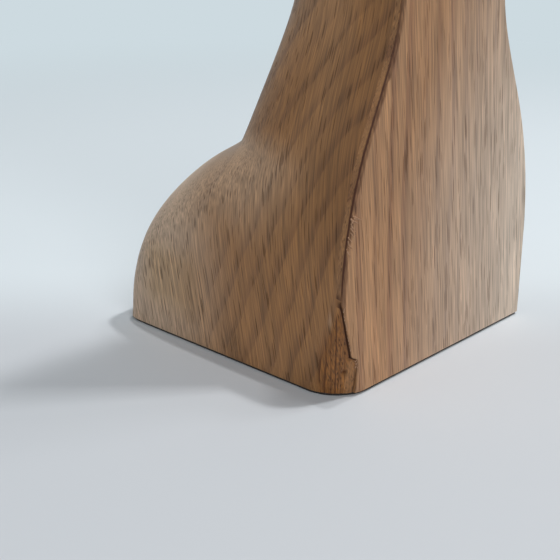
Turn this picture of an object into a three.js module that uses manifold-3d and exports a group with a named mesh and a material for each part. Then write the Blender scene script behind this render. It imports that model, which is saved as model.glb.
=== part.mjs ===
// A carved oak door wedge with a tall humped heel, standing on its butt end, toe up.
// Millimetres, +Z from butt to toe. The flat sole faces -Y and the humped back faces +Y.
// The origin is the middle of the footprint, on the underside of the butt pad.
import * as THREE from 'three';
import { mergeVertices } from 'three/addons/utils/BufferGeometryUtils.js';
import Module from 'manifold-3d';

const wasm = await Module();
wasm.setup();

// The whole wedge
const LENGTH = 165;
const HEEL_WIDTH = 58;
const HEEL_THICK = 58;
const NECK_HEIGHT = 50;
const NECK_THICK = 34;
const TOE_THICK = 3.6;
const TOE_WIDTH = 26;
const TONGUE_WIDTH = 31;

// The hump on the back of the heel: a quarter ellipse that runs into the neck
const HUMP_START = 5.4;
const HUMP_RISE = 35.3;
const HUMP_DROP = 30;
const NECK_FILLET = 4;

// The shoulders: an arc on each cheek that narrows the heel to the tongue
const SHOULDER_START = 18;
const SHOULDER_RADIUS = 71;
const WAIST_HEIGHT = 62;
const WAIST_FILLET = 7;

// The two back edges: nearly square at the foot and soft from the neck up, as superellipse powers
const FOOT_SQUARENESS = 44;
const NECK_SQUARENESS = 4;
const SOFTENING = 3.2;

// The kicked corner of the sole: worn round at the foot, fading out up the arris
const WEAR_RADIUS = 8;
const WEAR_HEIGHT = 20;

// The thin board that is glued on as the sole, and the corner broken off it
const FACING_THICK = 1.5;
const BREAK_HEIGHT = 19.6;
const KNEE_HEIGHT = 8.2;
const KNEE_WIDTH = 2.7;
const STUMP_HEIGHT = 4.2;
const STUMP_WIDTH = 4.7;

// The thin rubber pad under the butt
const PAD_THICK = 0.6;
const PAD_INSET = 0.4;

// The ribbed rubber strip that is let into the sole
const STRIP_WIDTH = 14;
const STRIP_LENGTH = 72;
const STRIP_TO_TOE = 15;
const STRIP_FIT = 0.3;
const RIB_HEIGHT = 0.8;
const RIB_WIDTH = 1.5;
const RIB_TIP = 1;
const RIB_PITCH = 3;
const LAND_LENGTH = 8;

// The brass pins that hold the strip
const PIN_COUNT = 4;
const PIN_END = 7;
const PIN_LENGTH = 6.5;
const PIN_SHANK = 1.8;
const PIN_HEAD = 4.4;
const PIN_RIM = 0.25;
const PIN_CONE = 1.2;
const PIN_POINT = 1.6;
const PIN_SINK = 0.2;
const PIN_CLEARANCE = 0.3;
const PIN_SIDES = 20;

// How finely the blank is faceted
const EDGE_STEPS = 11;
const EDGE_CROWDING = 1.7;
const CORNER_STEPS = 9;
const HEEL_RINGS = 36;
const TONGUE_RINGS = 6;
const RIBBON_STEPS = 12;

const STRIP_END = LENGTH - STRIP_TO_TOE;
const STRIP_START = STRIP_END - STRIP_LENGTH;
const OVERCUT = 5;

const OAK = { color: 0x9a7656, roughness: 0.62, metalness: 0 };
const OAK_FACING = { color: 0xa37e5f, roughness: 0.58, metalness: 0 };
const RUBBER = { color: 0x24211f, roughness: 0.85, metalness: 0 };
const BRASS = { color: 0xb08d4a, roughness: 0.35, metalness: 1 };

// The larger of two measures, with a fillet where they come within reach of each other
function filletedMax(a, b, reach) {
  const near = Math.max(reach - Math.abs(a - b), 0) / reach;
  return Math.max(a, b) + near * near * reach / 4;
}

// How far a quarter ellipse has fallen away after a run along its length
function ellipseFall(run, length, fall) {
  const t = THREE.MathUtils.clamp(run / length, 0, 1);
  return fall * (1 - Math.sqrt(1 - t * t));
}

// Half the width across the cheeks at a height
function halfWidth(z) {
  const up = (z - WAIST_HEIGHT) / (LENGTH - WAIST_HEIGHT);
  const tongue = THREE.MathUtils.lerp(TONGUE_WIDTH, TOE_WIDTH, up) / 2;
  const fall = ellipseFall(z - SHOULDER_START, SHOULDER_RADIUS, SHOULDER_RADIUS);
  return filletedMax(HEEL_WIDTH / 2 - fall, tongue, WAIST_FILLET);
}

// Thickness from the sole to the back at a height
function thickness(z) {
  const up = (z - NECK_HEIGHT) / (LENGTH - NECK_HEIGHT);
  const ramp = THREE.MathUtils.lerp(NECK_THICK, TOE_THICK, up);
  if (z > HUMP_START + HUMP_RISE) {
    return ramp;
  }
  const hump = HEEL_THICK - ellipseFall(z - HUMP_START, HUMP_RISE, HUMP_DROP);
  return filletedMax(hump, ramp, NECK_FILLET);
}

// Power of the superellipse that rounds the back edges at a height
function squareness(z) {
  const below = Math.max(1 - z / NECK_HEIGHT, 0);
  return NECK_SQUARENESS + (FOOT_SQUARENESS - NECK_SQUARENESS) * Math.pow(below, SOFTENING);
}

// Radius of the worn corner at a height
function wearRadius(z) {
  return WEAR_RADIUS * Math.max(1 - z / WEAR_HEIGHT, 0);
}

// Move a point of the square corner that lies outside the worn arc onto it
function worn(point, half, radius) {
  const across = point.x + half - radius;
  const into = point.y - radius;
  const reach = Math.hypot(across, into);
  if (across < 0 && into < 0 && reach > radius) {
    point.set(across * radius / reach + radius - half, into * radius / reach + radius);
  }
  return point;
}

// Directions of the points over the back, crowded at the two back edges and the worn corner
function backAngles() {
  const eighth = Math.PI / 4;
  const corner = Math.atan2(WEAR_RADIUS, HEEL_THICK - WEAR_RADIUS);
  const angles = [];
  for (const edge of [eighth, 3 * eighth]) {
    for (let i = -EDGE_STEPS; i < EDGE_STEPS; i += 1) {
      angles.push(edge + Math.sign(i) * eighth * Math.pow(Math.abs(i) / EDGE_STEPS, EDGE_CROWDING));
    }
  }
  const kept = angles.filter((angle) => angle < Math.PI - corner);
  for (let i = CORNER_STEPS; i >= 0; i -= 1) {
    kept.push(Math.PI - corner * i / CORNER_STEPS);
  }
  return kept;
}

// One cross-section, anticlockwise: over the back from cheek to cheek, then home along the sole
function section(z) {
  const half = halfWidth(z);
  const deep = thickness(z);
  const power = squareness(z);
  const radius = wearRadius(z);
  const back = backAngles().map((angle) => {
    const c = Math.abs(Math.cos(angle));
    const s = Math.abs(Math.sin(angle));
    const k = Math.pow(Math.pow(c, power) + Math.pow(s, power), -1 / power);
    return new THREE.Vector2(Math.cos(angle) * k * half, s * k * deep);
  });
  const sole = [];
  for (let i = 1; i <= CORNER_STEPS; i += 1) {
    sole.push(new THREE.Vector2(WEAR_RADIUS * i / CORNER_STEPS - half, 0));
  }
  return [...back, ...sole].map((point) => worn(point, half, radius));
}

// A closed solid from a three.js geometry
function solidOf(geometry) {
  const bare = geometry.clone();
  bare.deleteAttribute('normal');
  bare.deleteAttribute('uv');
  const merged = mergeVertices(bare, 1e-5);
  const vertProperties = new Float32Array(merged.attributes.position.array);
  const triVerts = new Uint32Array(merged.index.array);
  return new wasm.Manifold(new wasm.Mesh({ numProp: 3, vertProperties, triVerts }));
}

// A three.js geometry from a closed solid
function geometryOf(solid) {
  const mesh = solid.getMesh();
  const geometry = new THREE.BufferGeometry();
  geometry.setAttribute('position', new THREE.BufferAttribute(new Float32Array(mesh.vertProperties), 3));
  geometry.setIndex(new THREE.BufferAttribute(new Uint32Array(mesh.triVerts), 1));
  const flat = geometry.toNonIndexed();
  flat.computeVertexNormals();
  return flat;
}

// A closed skin over a stack of rings that have the same number of points
function skin(rings) {
  const sum = (ring) => ring.reduce((total, point) => total.add(point), new THREE.Vector3());
  const middle = (ring) => sum(ring).divideScalar(ring.length);
  const foot = middle(rings[0]);
  const tip = middle(rings.at(-1));
  const faces = [];
  for (let j = 0; j < rings[0].length; j += 1) {
    const next = (j + 1) % rings[0].length;
    faces.push(foot, rings[0][next], rings[0][j]);
    faces.push(tip, rings.at(-1)[j], rings.at(-1)[next]);
    for (let i = 0; i + 1 < rings.length; i += 1) {
      faces.push(rings[i][j], rings[i][next], rings[i + 1][next]);
      faces.push(rings[i][j], rings[i + 1][next], rings[i + 1][j]);
    }
  }
  return new THREE.BufferGeometry().setFromPoints(faces);
}

// The carved blank, core and sole board in one: cross-sections skinned from butt to toe
function blankGeometry() {
  const joint = (WAIST_HEIGHT + STRIP_START) / 2;
  const heights = [];
  for (let i = 0; i < HEEL_RINGS; i += 1) {
    heights.push(THREE.MathUtils.lerp(PAD_THICK, joint, i / HEEL_RINGS));
  }
  for (let i = 0; i <= TONGUE_RINGS; i += 1) {
    heights.push(THREE.MathUtils.lerp(joint, LENGTH, i / TONGUE_RINGS));
  }
  return skin(heights.map((z) => section(z).map((point) => new THREE.Vector3(point.x, point.y, z))));
}

// An outline drawn in X and Z, as a prism between two depths below the sole face
function prism(outline, from, to) {
  const options = { depth: to - from, bevelEnabled: false, curveSegments: RIBBON_STEPS };
  const geometry = new THREE.ExtrudeGeometry(outline, options);
  const turn = new THREE.Matrix4().makeBasis(
    new THREE.Vector3(1, 0, 0),
    new THREE.Vector3(0, 0, 1),
    new THREE.Vector3(0, -1, 0),
  );
  geometry.applyMatrix4(turn);
  geometry.translate(0, to, 0);
  return solidOf(geometry);
}

// The round-ended outline of the strip, or of its window when it is grown by the fit
function ribbon(grow) {
  const radius = STRIP_WIDTH / 2 + grow;
  const low = STRIP_START + STRIP_WIDTH / 2;
  const high = STRIP_END - STRIP_WIDTH / 2;
  const outline = new THREE.Shape();
  outline.moveTo(radius, low);
  outline.lineTo(radius, high);
  outline.absarc(0, high, radius, 0, Math.PI, false);
  outline.lineTo(-radius, low);
  outline.absarc(0, low, radius, Math.PI, 2 * Math.PI, false);
  return outline;
}

// The corner that has broken off the sole board
function brokenCorner() {
  const edge = -halfWidth(0);
  const outline = new THREE.Shape();
  outline.moveTo(edge - OVERCUT, -OVERCUT);
  outline.lineTo(edge + STUMP_WIDTH, -OVERCUT);
  outline.lineTo(edge + STUMP_WIDTH, STUMP_HEIGHT);
  outline.lineTo(edge + KNEE_WIDTH, KNEE_HEIGHT);
  outline.lineTo(edge, BREAK_HEIGHT);
  outline.lineTo(edge - OVERCUT, BREAK_HEIGHT);
  return prism(outline, -OVERCUT, FACING_THICK + OVERCUT);
}

// Heights of the pins, even along the strip
function pinHeights() {
  const pitch = (STRIP_LENGTH - 2 * PIN_END) / (PIN_COUNT - 1);
  return Array.from({ length: PIN_COUNT }, (_, i) => STRIP_START + PIN_END + i * pitch);
}

// A countersunk pin as a lathe profile, head first, or the hole for it when it is grown
function pinProfile(grow, above) {
  const head = PIN_HEAD / 2 + grow;
  const shank = PIN_SHANK / 2 + grow;
  const end = PIN_LENGTH + grow;
  return [
    new THREE.Vector2(0, -above),
    new THREE.Vector2(head, -above),
    new THREE.Vector2(head, PIN_RIM),
    new THREE.Vector2(shank, PIN_RIM + PIN_CONE),
    new THREE.Vector2(shank, end - PIN_POINT),
    new THREE.Vector2(0, end),
  ];
}

// Everything that is drilled for the pins
function pinHoles() {
  const hole = new THREE.LatheGeometry(pinProfile(PIN_CLEARANCE, OVERCUT), PIN_SIDES);
  const holes = pinHeights().map((z) => solidOf(hole.clone().translate(0, PIN_SINK, z)));
  return wasm.Manifold.union(holes);
}

// The profile of the ribbed strip, seen from its side: a band with teeth, plain where the pins are
function ribbedBand() {
  const outline = new THREE.Shape();
  outline.moveTo(STRIP_START, 0);
  const ribs = Math.floor((STRIP_LENGTH - RIB_PITCH) / RIB_PITCH);
  const first = (STRIP_START + STRIP_END - (ribs - 1) * RIB_PITCH) / 2;
  for (let i = 0; i < ribs; i += 1) {
    const z = first + i * RIB_PITCH;
    if (pinHeights().every((pin) => Math.abs(pin - z) > LAND_LENGTH / 2)) {
      outline.lineTo(z - RIB_WIDTH / 2, 0);
      outline.lineTo(z - RIB_TIP / 2, RIB_HEIGHT);
      outline.lineTo(z + RIB_TIP / 2, RIB_HEIGHT);
      outline.lineTo(z + RIB_WIDTH / 2, 0);
    }
  }
  outline.lineTo(STRIP_END, 0);
  outline.lineTo(STRIP_END, -FACING_THICK);
  outline.lineTo(STRIP_START, -FACING_THICK);
  const geometry = new THREE.ExtrudeGeometry(outline, { depth: STRIP_WIDTH, bevelEnabled: false });
  const turn = new THREE.Matrix4().makeBasis(
    new THREE.Vector3(0, 0, 1),
    new THREE.Vector3(0, -1, 0),
    new THREE.Vector3(1, 0, 0),
  );
  geometry.applyMatrix4(turn);
  geometry.translate(-STRIP_WIDTH / 2, 0, 0);
  return solidOf(geometry);
}

// The butt pad: the outline of the foot, drawn in by the inset
function padGeometry() {
  const middle = HEEL_THICK / 2;
  const drawnIn = (size) => 1 - 2 * PAD_INSET / size;
  const ring = (z) => section(PAD_THICK).map((point) => new THREE.Vector3(
    point.x * drawnIn(HEEL_WIDTH),
    middle + (point.y - middle) * drawnIn(HEEL_THICK),
    z,
  ));
  return skin([ring(0), ring(PAD_THICK)]);
}

// Name a piece, give it its finish and add it to the wedge
function addPiece(name, geometry, finish, position = new THREE.Vector3()) {
  const piece = new THREE.Mesh(geometry, new THREE.MeshStandardMaterial(finish));
  piece.name = name;
  piece.position.copy(position);
  wedge.add(piece);
}

const wedge = new THREE.Group();
wedge.position.y = (RIB_HEIGHT - HEEL_THICK) / 2;

const blank = solidOf(blankGeometry());
const [behindGlue, beforeGlue] = blank.splitByPlane([0, 1, 0], FACING_THICK);
const window = prism(ribbon(STRIP_FIT), -OVERCUT, FACING_THICK + OVERCUT);
const holes = pinHoles();

addPiece('oak_core', geometryOf(behindGlue.subtract(holes)), OAK);
addPiece('sole_facing', geometryOf(beforeGlue.subtract(brokenCorner()).subtract(window)), OAK_FACING);
addPiece('butt_pad', padGeometry(), RUBBER);
addPiece(
  'grip_strip',
  geometryOf(ribbedBand().intersect(prism(ribbon(0), -OVERCUT, FACING_THICK + OVERCUT)).subtract(holes)),
  RUBBER,
);
pinHeights().forEach((z, i) => {
  const pin = new THREE.LatheGeometry(pinProfile(0, 0), PIN_SIDES);
  addPiece(`brass_pin_${i + 1}`, pin, BRASS, new THREE.Vector3(0, PIN_SINK, z));
});

export default wedge;
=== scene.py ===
# %% [markdown]
# A door wedge, carved from oak and standing on its butt end with the toe up.
# It is a block of oak with a humped heel, a thin oak board glued on as its sole, a ribbed rubber
# strip pinned into the sole, and a thin rubber pad under the butt. One corner of the sole has been
# kicked: the board is broken off there and the wood behind it is bare.
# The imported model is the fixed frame. Every piece below takes its size and place from it.

import math

import bmesh
import bpy
import numpy as np
from mathutils import Matrix, Vector, noise


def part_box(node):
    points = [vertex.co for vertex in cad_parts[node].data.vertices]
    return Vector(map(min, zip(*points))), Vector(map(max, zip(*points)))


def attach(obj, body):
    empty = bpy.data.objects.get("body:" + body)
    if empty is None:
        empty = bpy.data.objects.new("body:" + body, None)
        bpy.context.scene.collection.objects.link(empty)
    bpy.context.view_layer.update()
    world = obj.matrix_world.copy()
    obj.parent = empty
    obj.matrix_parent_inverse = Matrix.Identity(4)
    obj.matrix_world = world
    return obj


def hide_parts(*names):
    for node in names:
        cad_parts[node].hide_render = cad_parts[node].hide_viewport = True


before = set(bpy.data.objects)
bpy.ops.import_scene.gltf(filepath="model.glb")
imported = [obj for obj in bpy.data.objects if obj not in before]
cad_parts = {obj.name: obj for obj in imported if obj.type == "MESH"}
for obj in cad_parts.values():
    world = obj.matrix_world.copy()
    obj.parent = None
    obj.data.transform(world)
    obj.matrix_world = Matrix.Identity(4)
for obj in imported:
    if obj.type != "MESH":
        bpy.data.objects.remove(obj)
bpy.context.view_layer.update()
scene = bpy.context.scene
print("CAD nodes:", sorted(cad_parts))

# %% [markdown]
# Sizes are real ones. Blender works in metres, and a wood carver in millimetres, so every size is
# written in millimetres and multiplied by MM. What the frame can say is read from the frame. The
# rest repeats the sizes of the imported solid, apart from the edge of the broken board. The solid
# has a plain straight knee there, and the real break has a small step above a stump, so its edge
# is a finer line of heights and of widths that are missing at them.

# %% Sizes of the wedge
MM = 0.001
core_low, core_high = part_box("oak_core")
board_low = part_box("sole_facing")[0]
strip_low, strip_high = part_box("grip_strip")
SOLE = board_low.y
GLUE = core_low.y
FOOT = core_low.z
TOE = core_high.z
HALF_HEEL = core_high.x
HEEL_THICK = core_high.y - SOLE
BOARD_THICK = GLUE - SOLE

NECK_HEIGHT = 50 * MM
NECK_THICK = 34 * MM
TOE_THICK = 3.6 * MM
HALF_TOE = 13 * MM
HALF_TONGUE = 15.5 * MM
HUMP_START = 5.4 * MM
HUMP_RISE = 35.3 * MM
HUMP_DROP = 30 * MM
NECK_FILLET = 4 * MM
SHOULDER_START = 18 * MM
SHOULDER_RADIUS = 71 * MM
WAIST_HEIGHT = 62 * MM
WAIST_FILLET = 7 * MM
FOOT_SQUARENESS = 44
NECK_SQUARENESS = 4
SOFTENING = 3.2
WEAR_RADIUS = 8 * MM
WEAR_HEIGHT = 20 * MM
BREAK_HEIGHT = 19.6 * MM
STUMP_TOP = 7.4 * MM
BREAK_HEIGHTS = np.array([0.2, 6.2, 7.3, 7.9, 14.1, 19.6]) * MM
BREAK_WIDTHS = np.array([4.5, 4.7, 4.4, 3.1, 1.4, 0.0]) * MM
print("heel", round(2 * HALF_HEEL / MM, 1), "x", round(HEEL_THICK / MM, 1), "mm")
print("toe at", round(TOE / MM, 1), "mm")

# %% [markdown]
# A carver works from two templates, a front one and a side one, and rounds the back edges by eye.
# The same can be said with four measures at each height: half the width, the thickness, how square
# the back edges are, and how far the kicked corner has worn. They are formulas here, so that the
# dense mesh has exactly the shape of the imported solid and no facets.


# %% The carver's templates as formulas
def filleted_max(a, b, reach):
    """The larger of two measures, with a fillet where they come within reach of each other."""
    near = np.maximum(reach - np.abs(a - b), 0) / reach
    return np.maximum(a, b) + near ** 2 * reach / 4


def ellipse_fall(run, length, fall):
    """How far a quarter ellipse has fallen away after a run along its length."""
    t = np.clip(run / length, 0, 1)
    return fall * (1 - np.sqrt(1 - t ** 2))


def half_width(z):
    """Half the width across the cheeks at a height."""
    up = (z - WAIST_HEIGHT) / (TOE - WAIST_HEIGHT)
    tongue = HALF_TONGUE + (HALF_TOE - HALF_TONGUE) * up
    fall = ellipse_fall(z - SHOULDER_START, SHOULDER_RADIUS, SHOULDER_RADIUS)
    return filleted_max(HALF_HEEL - fall, tongue, WAIST_FILLET)


def thickness(z):
    """Thickness from the sole to the back at a height."""
    up = (z - NECK_HEIGHT) / (TOE - NECK_HEIGHT)
    ramp_up = NECK_THICK + (TOE_THICK - NECK_THICK) * up
    hump = HEEL_THICK - ellipse_fall(z - HUMP_START, HUMP_RISE, HUMP_DROP)
    return np.where(z > HUMP_START + HUMP_RISE, ramp_up, filleted_max(hump, ramp_up, NECK_FILLET))


print("heel narrows to", round(2 * float(half_width(WAIST_HEIGHT)) / MM, 1), "mm at the waist")


# %% The edges as formulas
def squareness(z):
    """Power of the superellipse that rounds the back edges at a height."""
    below = np.maximum(1 - z / NECK_HEIGHT, 0)
    return NECK_SQUARENESS + (FOOT_SQUARENESS - NECK_SQUARENESS) * below ** SOFTENING


def wear_radius(z):
    """Radius of the worn corner at a height."""
    return WEAR_RADIUS * np.maximum(1 - z / WEAR_HEIGHT, 0)


def break_width(z):
    """How far in from the cheek the sole board is broken away at a height."""
    return np.interp(z, BREAK_HEIGHTS, BREAK_WIDTHS)


def arc_depth(inward, radius):
    """How deep a worn arc lies behind the sole face, at a distance in from the cheek."""
    side = np.clip(radius - inward, 0, radius)
    return radius - np.sqrt(np.maximum(radius ** 2 - side ** 2, 0))


print("the corner is worn to", round(float(wear_radius(FOOT)) / MM, 1), "mm at the foot")

# %% [markdown]
# The formulas are read at a few hundred heights, close together on the heel, where the close detail
# is, and wider apart on the plain tongue. A mesh can carry such a list into a node tree: it is a
# chain of points up the middle, and each point keeps the measures of its height as attributes.

# %% Heights of the templates
FINE_STEP = 0.34 * MM
COARSE_STEP = 1.7 * MM
FINE_TOP = 63 * MM
fine = np.linspace(FOOT, FINE_TOP, round((FINE_TOP - FOOT) / FINE_STEP))
coarse = np.linspace(FINE_TOP, TOE, round((TOE - FINE_TOP) / COARSE_STEP) + 1)
heights = np.concatenate([fine, coarse[1:]])


def template_mesh(name, heights, measures):
    """A chain of points up the middle, each carrying the measures of the section at its height."""
    mesh = bpy.data.meshes.new(name)
    chain = [(i, i + 1) for i in range(len(heights) - 1)]
    mesh.from_pydata([(0, 0, z) for z in heights], chain, [])
    for label, values in measures.items():
        layer = mesh.attributes.new(label, "FLOAT", "POINT")
        layer.data.foreach_set("value", np.asarray(values, np.float32))
    return mesh


print(len(heights), "templates from", round(FOOT / MM, 1), "to", round(TOE / MM, 1), "mm")

# %% [markdown]
# The rest of the script leans on a few small helpers. One turns a written colour into the linear
# one that Blender mixes, one adds a node, and one starts a material. One starts a Geometry Nodes
# tree with named inputs, two read the templates in it, one ends it, and one runs it and keeps the
# result as a plain mesh. The kinds of node that are used most have short names here.

# %% Helpers for colours and nodes
MATH = "ShaderNodeMath"
VECTOR_MATH = "ShaderNodeVectorMath"
MIX = "ShaderNodeMix"
MAP_RANGE = "ShaderNodeMapRange"
NOISE = "ShaderNodeTexNoise"
ATTRIBUTE = "ShaderNodeAttribute"
JOIN_XYZ = "ShaderNodeCombineXYZ"
SPLIT_XYZ = "ShaderNodeSeparateXYZ"


def linear(code):
    """A written sRGB colour such as #9a7858 as linear red, green, blue and alpha."""
    shares = [int(code[i:i + 2], 16) / 255 for i in (1, 3, 5)]
    return tuple(c / 12.92 if c <= 0.04045 else ((c + 0.055) / 1.055) ** 2.4 for c in shares) + (1.0,)


def add(tree, kind, feeds=(), **settings):
    """Add a node with its settings, and link or set its inputs: by name, or in order if unnamed.

    Only the inputs that are live under those settings are counted.
    """
    node = tree.nodes.new(kind)
    for name, value in settings.items():
        setattr(node, name, value)
    named = feeds if isinstance(feeds, dict) else dict(enumerate(feeds))
    for key, feed in named.items():
        live = [socket for socket in node.inputs if socket.enabled]
        socket = live[key] if isinstance(key, int) else next(s for s in live if s.name == key)
        if isinstance(feed, bpy.types.Node):
            feed = next(s for s in feed.outputs if s.enabled)
        if isinstance(feed, bpy.types.NodeSocket):
            tree.links.new(feed, socket)
        else:
            socket.default_value = feed
    return node


def start_material(name):
    """A new material and its empty node tree."""
    material = bpy.data.materials.new(name)
    material.use_nodes = True
    material.node_tree.nodes.clear()
    return material, material.node_tree


print("written", "#9a7858", "is linear", [round(c, 3) for c in linear("#9a7858")])


# %% Helpers for Geometry Nodes
def start_tree(name, inputs):
    """A Geometry Nodes tree with a geometry input and named inputs for its sizes."""
    tree = bpy.data.node_groups.new(name, "GeometryNodeTree")
    tree.interface.new_socket("Geometry", in_out="INPUT", socket_type="NodeSocketGeometry")
    for label, kind in inputs.items():
        tree.interface.new_socket(label, in_out="INPUT", socket_type="NodeSocket" + kind)
    tree.interface.new_socket("Geometry", in_out="OUTPUT", socket_type="NodeSocketGeometry")
    return tree, add(tree, "NodeGroupInput").outputs


def template_level(tree, along, templates):
    """Which template a point belongs to, from its place between -0.5 and 0.5 along the piece."""
    last = add(tree, MATH, (templates, 1.0), operation="SUBTRACT")
    up = add(tree, MATH, (along, 0.5), operation="ADD")
    level = add(tree, MATH, (up, last), operation="MULTIPLY")
    return add(tree, MATH, (level,), operation="ROUND"), last


def template_measures(tree, templates_mesh, level, labels):
    """The measures that the template at a level carries."""
    measures = {}
    for label in labels:
        named = add(tree, "GeometryNodeInputNamedAttribute", {"Name": label}, data_type="FLOAT")
        measures[label] = add(tree, "GeometryNodeSampleIndex",
                              {"Geometry": templates_mesh, "Value": named, "Index": level},
                              data_type="FLOAT", domain="POINT")
    return measures


rounded = np.round((np.linspace(-0.5, 0.5, len(heights)) + 0.5) * (len(heights) - 1))
print("rounding finds", len(set(rounded)), "of", len(heights), "templates")


# %% Ending and running a tree
def end_tree(tree, geometry, material):
    """Close a tree: no instances are left, and the material is set."""
    real = add(tree, "GeometryNodeRealizeInstances", {"Geometry": geometry})
    painted = add(tree, "GeometryNodeSetMaterial", {"Geometry": real, "Material": material})
    add(tree, "NodeGroupOutput", {"Geometry": painted})
    return tree


def grow(name, mesh, tree, values):
    """Run a tree on a mesh and keep the result as a plain mesh object."""
    seed = bpy.data.objects.new(name + "_seed", mesh)
    scene.collection.objects.link(seed)
    modifier = seed.modifiers.new(tree.name, "NODES")
    modifier.node_group = tree
    for item in tree.interface.items_tree:
        if item.in_out == "INPUT" and item.name in values:
            modifier[item.identifier] = values[item.name]
    grown = bpy.data.meshes.new_from_object(seed.evaluated_get(bpy.context.evaluated_depsgraph_get()))
    bpy.data.objects.remove(seed)
    grown.name = name
    piece = bpy.data.objects.new(name, grown)
    scene.collection.objects.link(piece)
    print(name, "has", len(grown.polygons), "faces")
    return piece


# %% [markdown]
# Oak that has been planed or scraped and then oiled. Four things show from close by. The growth
# rings are bands 4.4 mm apart, as in a fast-grown tree. Each begins with a row of wide open pores,
# which the cut has opened into dark dashes. Between them lie fine paler and darker fibres, and the
# oil has drawn in unevenly, so that the tone drifts over the piece.
# Wood is solid, so the figure isn't drawn on the surface. A group of shader nodes works it out in
# space, in millimetres along the axes of the log, and the curved cheeks then cut the rings into
# curved bands by themselves. Both pieces of oak share the group, which is built up in the next
# cells, one sight at a time.

# %% Growth rings
RING_CURVE = 120.0
RING_DRIFT = (22.0, 60.0)
DRIFT_REACH = 9.0
POOREST_YEAR = 0.35


def stretched(tree, place, width, length):
    """A place in the log, in units of a feature's width across the fibres and length along them."""
    return add(tree, VECTOR_MATH, (place, (1 / width, 1 / width, 1 / length)), operation="MULTIPLY")


def growth_rings(tree, place, direction, pitch):
    """Bands of spring wood, 1 where it is open and 0 in the dense summer wood."""
    # Depth into the tree: along the ring direction, bowed as rings are, with a slow drift
    straight = add(tree, VECTOR_MATH, (place, direction), operation="DOT_PRODUCT").outputs["Value"]
    drift = add(tree, NOISE, {"Vector": stretched(tree, place, *RING_DRIFT), "Scale": 1.0, "Detail": 2.0})
    pushed = add(tree, MATH, (drift, DRIFT_REACH, straight), operation="MULTIPLY_ADD")
    across = add(tree, SPLIT_XYZ, {"Vector": place}).outputs["X"]
    bowed = add(tree, MATH, (across, across), operation="MULTIPLY")
    depth = add(tree, MATH, (bowed, 0.5 / RING_CURVE, pushed), operation="MULTIPLY_ADD")

    # A quick start in spring and a slow return, and no two years are alike
    years = add(tree, MATH, (depth, pitch), operation="DIVIDE")
    season = add(tree, MATH, (years,), operation="FRACT")
    year = add(tree, MATH, (years,), operation="FLOOR")
    growth = add(tree, "ShaderNodeTexWhiteNoise", {"W": year}, noise_dimensions="1D").outputs["Value"]
    start = add(tree, MAP_RANGE, {"Value": season, "From Max": 0.12}, interpolation_type="SMOOTHSTEP")
    fall = add(tree, MAP_RANGE,
               {"Value": season, "From Min": 0.18, "From Max": 0.62, "To Min": 1.0, "To Max": 0.0},
               interpolation_type="SMOOTHSTEP")
    pulse = add(tree, MATH, (start, fall), operation="MULTIPLY")
    vigour = add(tree, MAP_RANGE, {"Value": growth, "To Min": POOREST_YEAR})
    return add(tree, MATH, (pulse, vigour), operation="MULTIPLY")


print("rings bow on a radius of", RING_CURVE, "mm and drift by up to", DRIFT_REACH / 2, "mm")

# %% [markdown]
# A pore is a vessel about 0.2 mm wide and centimetres long, and a cut that runs nearly along it
# opens it into a dash. Voronoi cells that are far longer than wide give such dashes, each with a
# place of its own. They are drawn twice as wide as real ones, because finer ones vanish in the
# render.

# %% Pores
PORE_WIDTH = 0.42
PORE_LENGTH = 9.0


def open_pores(tree, place, ring):
    """Dark dashes, wide open in the spring wood and few and thin elsewhere."""
    cells = add(tree, "ShaderNodeTexVoronoi",
                {"Vector": stretched(tree, place, PORE_WIDTH, PORE_LENGTH), "Scale": 1.0})
    open_to = add(tree, MAP_RANGE, {"Value": ring, "To Min": 0.23, "To Max": 0.4})
    shut_at = add(tree, MATH, (open_to, 0.72), operation="MULTIPLY")
    return add(tree, MAP_RANGE,
               {"Value": cells.outputs["Distance"], "From Min": open_to, "From Max": shut_at},
               interpolation_type="SMOOTHSTEP")


print("pores are", PORE_WIDTH, "mm wide and up to", PORE_LENGTH, "mm long")

# %% [markdown]
# Fibres and rays seen side on make fine streaks, and the oil makes soft clouds. Both are noise that
# is stretched along the fibres. Streaks need two widths, because a single one looks combed.
# Where a corner has torn off, the wood has split between its fibres. That shows as upright dark
# lines at even steps. Each line has its own strength, and a little noise makes it sway.

# %% Streaks, tone and splits
STREAK_WIDTH = 0.3
STREAK_LENGTH = 15.0
FIBRE_WIDTH = 0.24
FIBRE_LENGTH = 9.0
TONE_CLOUD = (7.0, 26.0)
SPLIT_PITCH = 0.85
SPLIT_WANDER = 0.9
SPLIT_SWAY = (1.6, 15.0)
SPLIT_FACING = (0.7, -0.7, -0.13)


def fibre_streaks(tree, place):
    """Paler and darker streaks around a middle of 0.5, the fine ones riding on wider ones."""
    layers = [add(tree, NOISE, {"Vector": stretched(tree, place, width, length), "Scale": 1.0,
                                "Detail": 1.0, "Roughness": 0.5})
              for width, length in ((STREAK_WIDTH, STREAK_LENGTH), (FIBRE_WIDTH, FIBRE_LENGTH))]
    return add(tree, MIX, {"Factor": 0.5, "A": layers[0], "B": layers[1]}, data_type="FLOAT")


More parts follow.
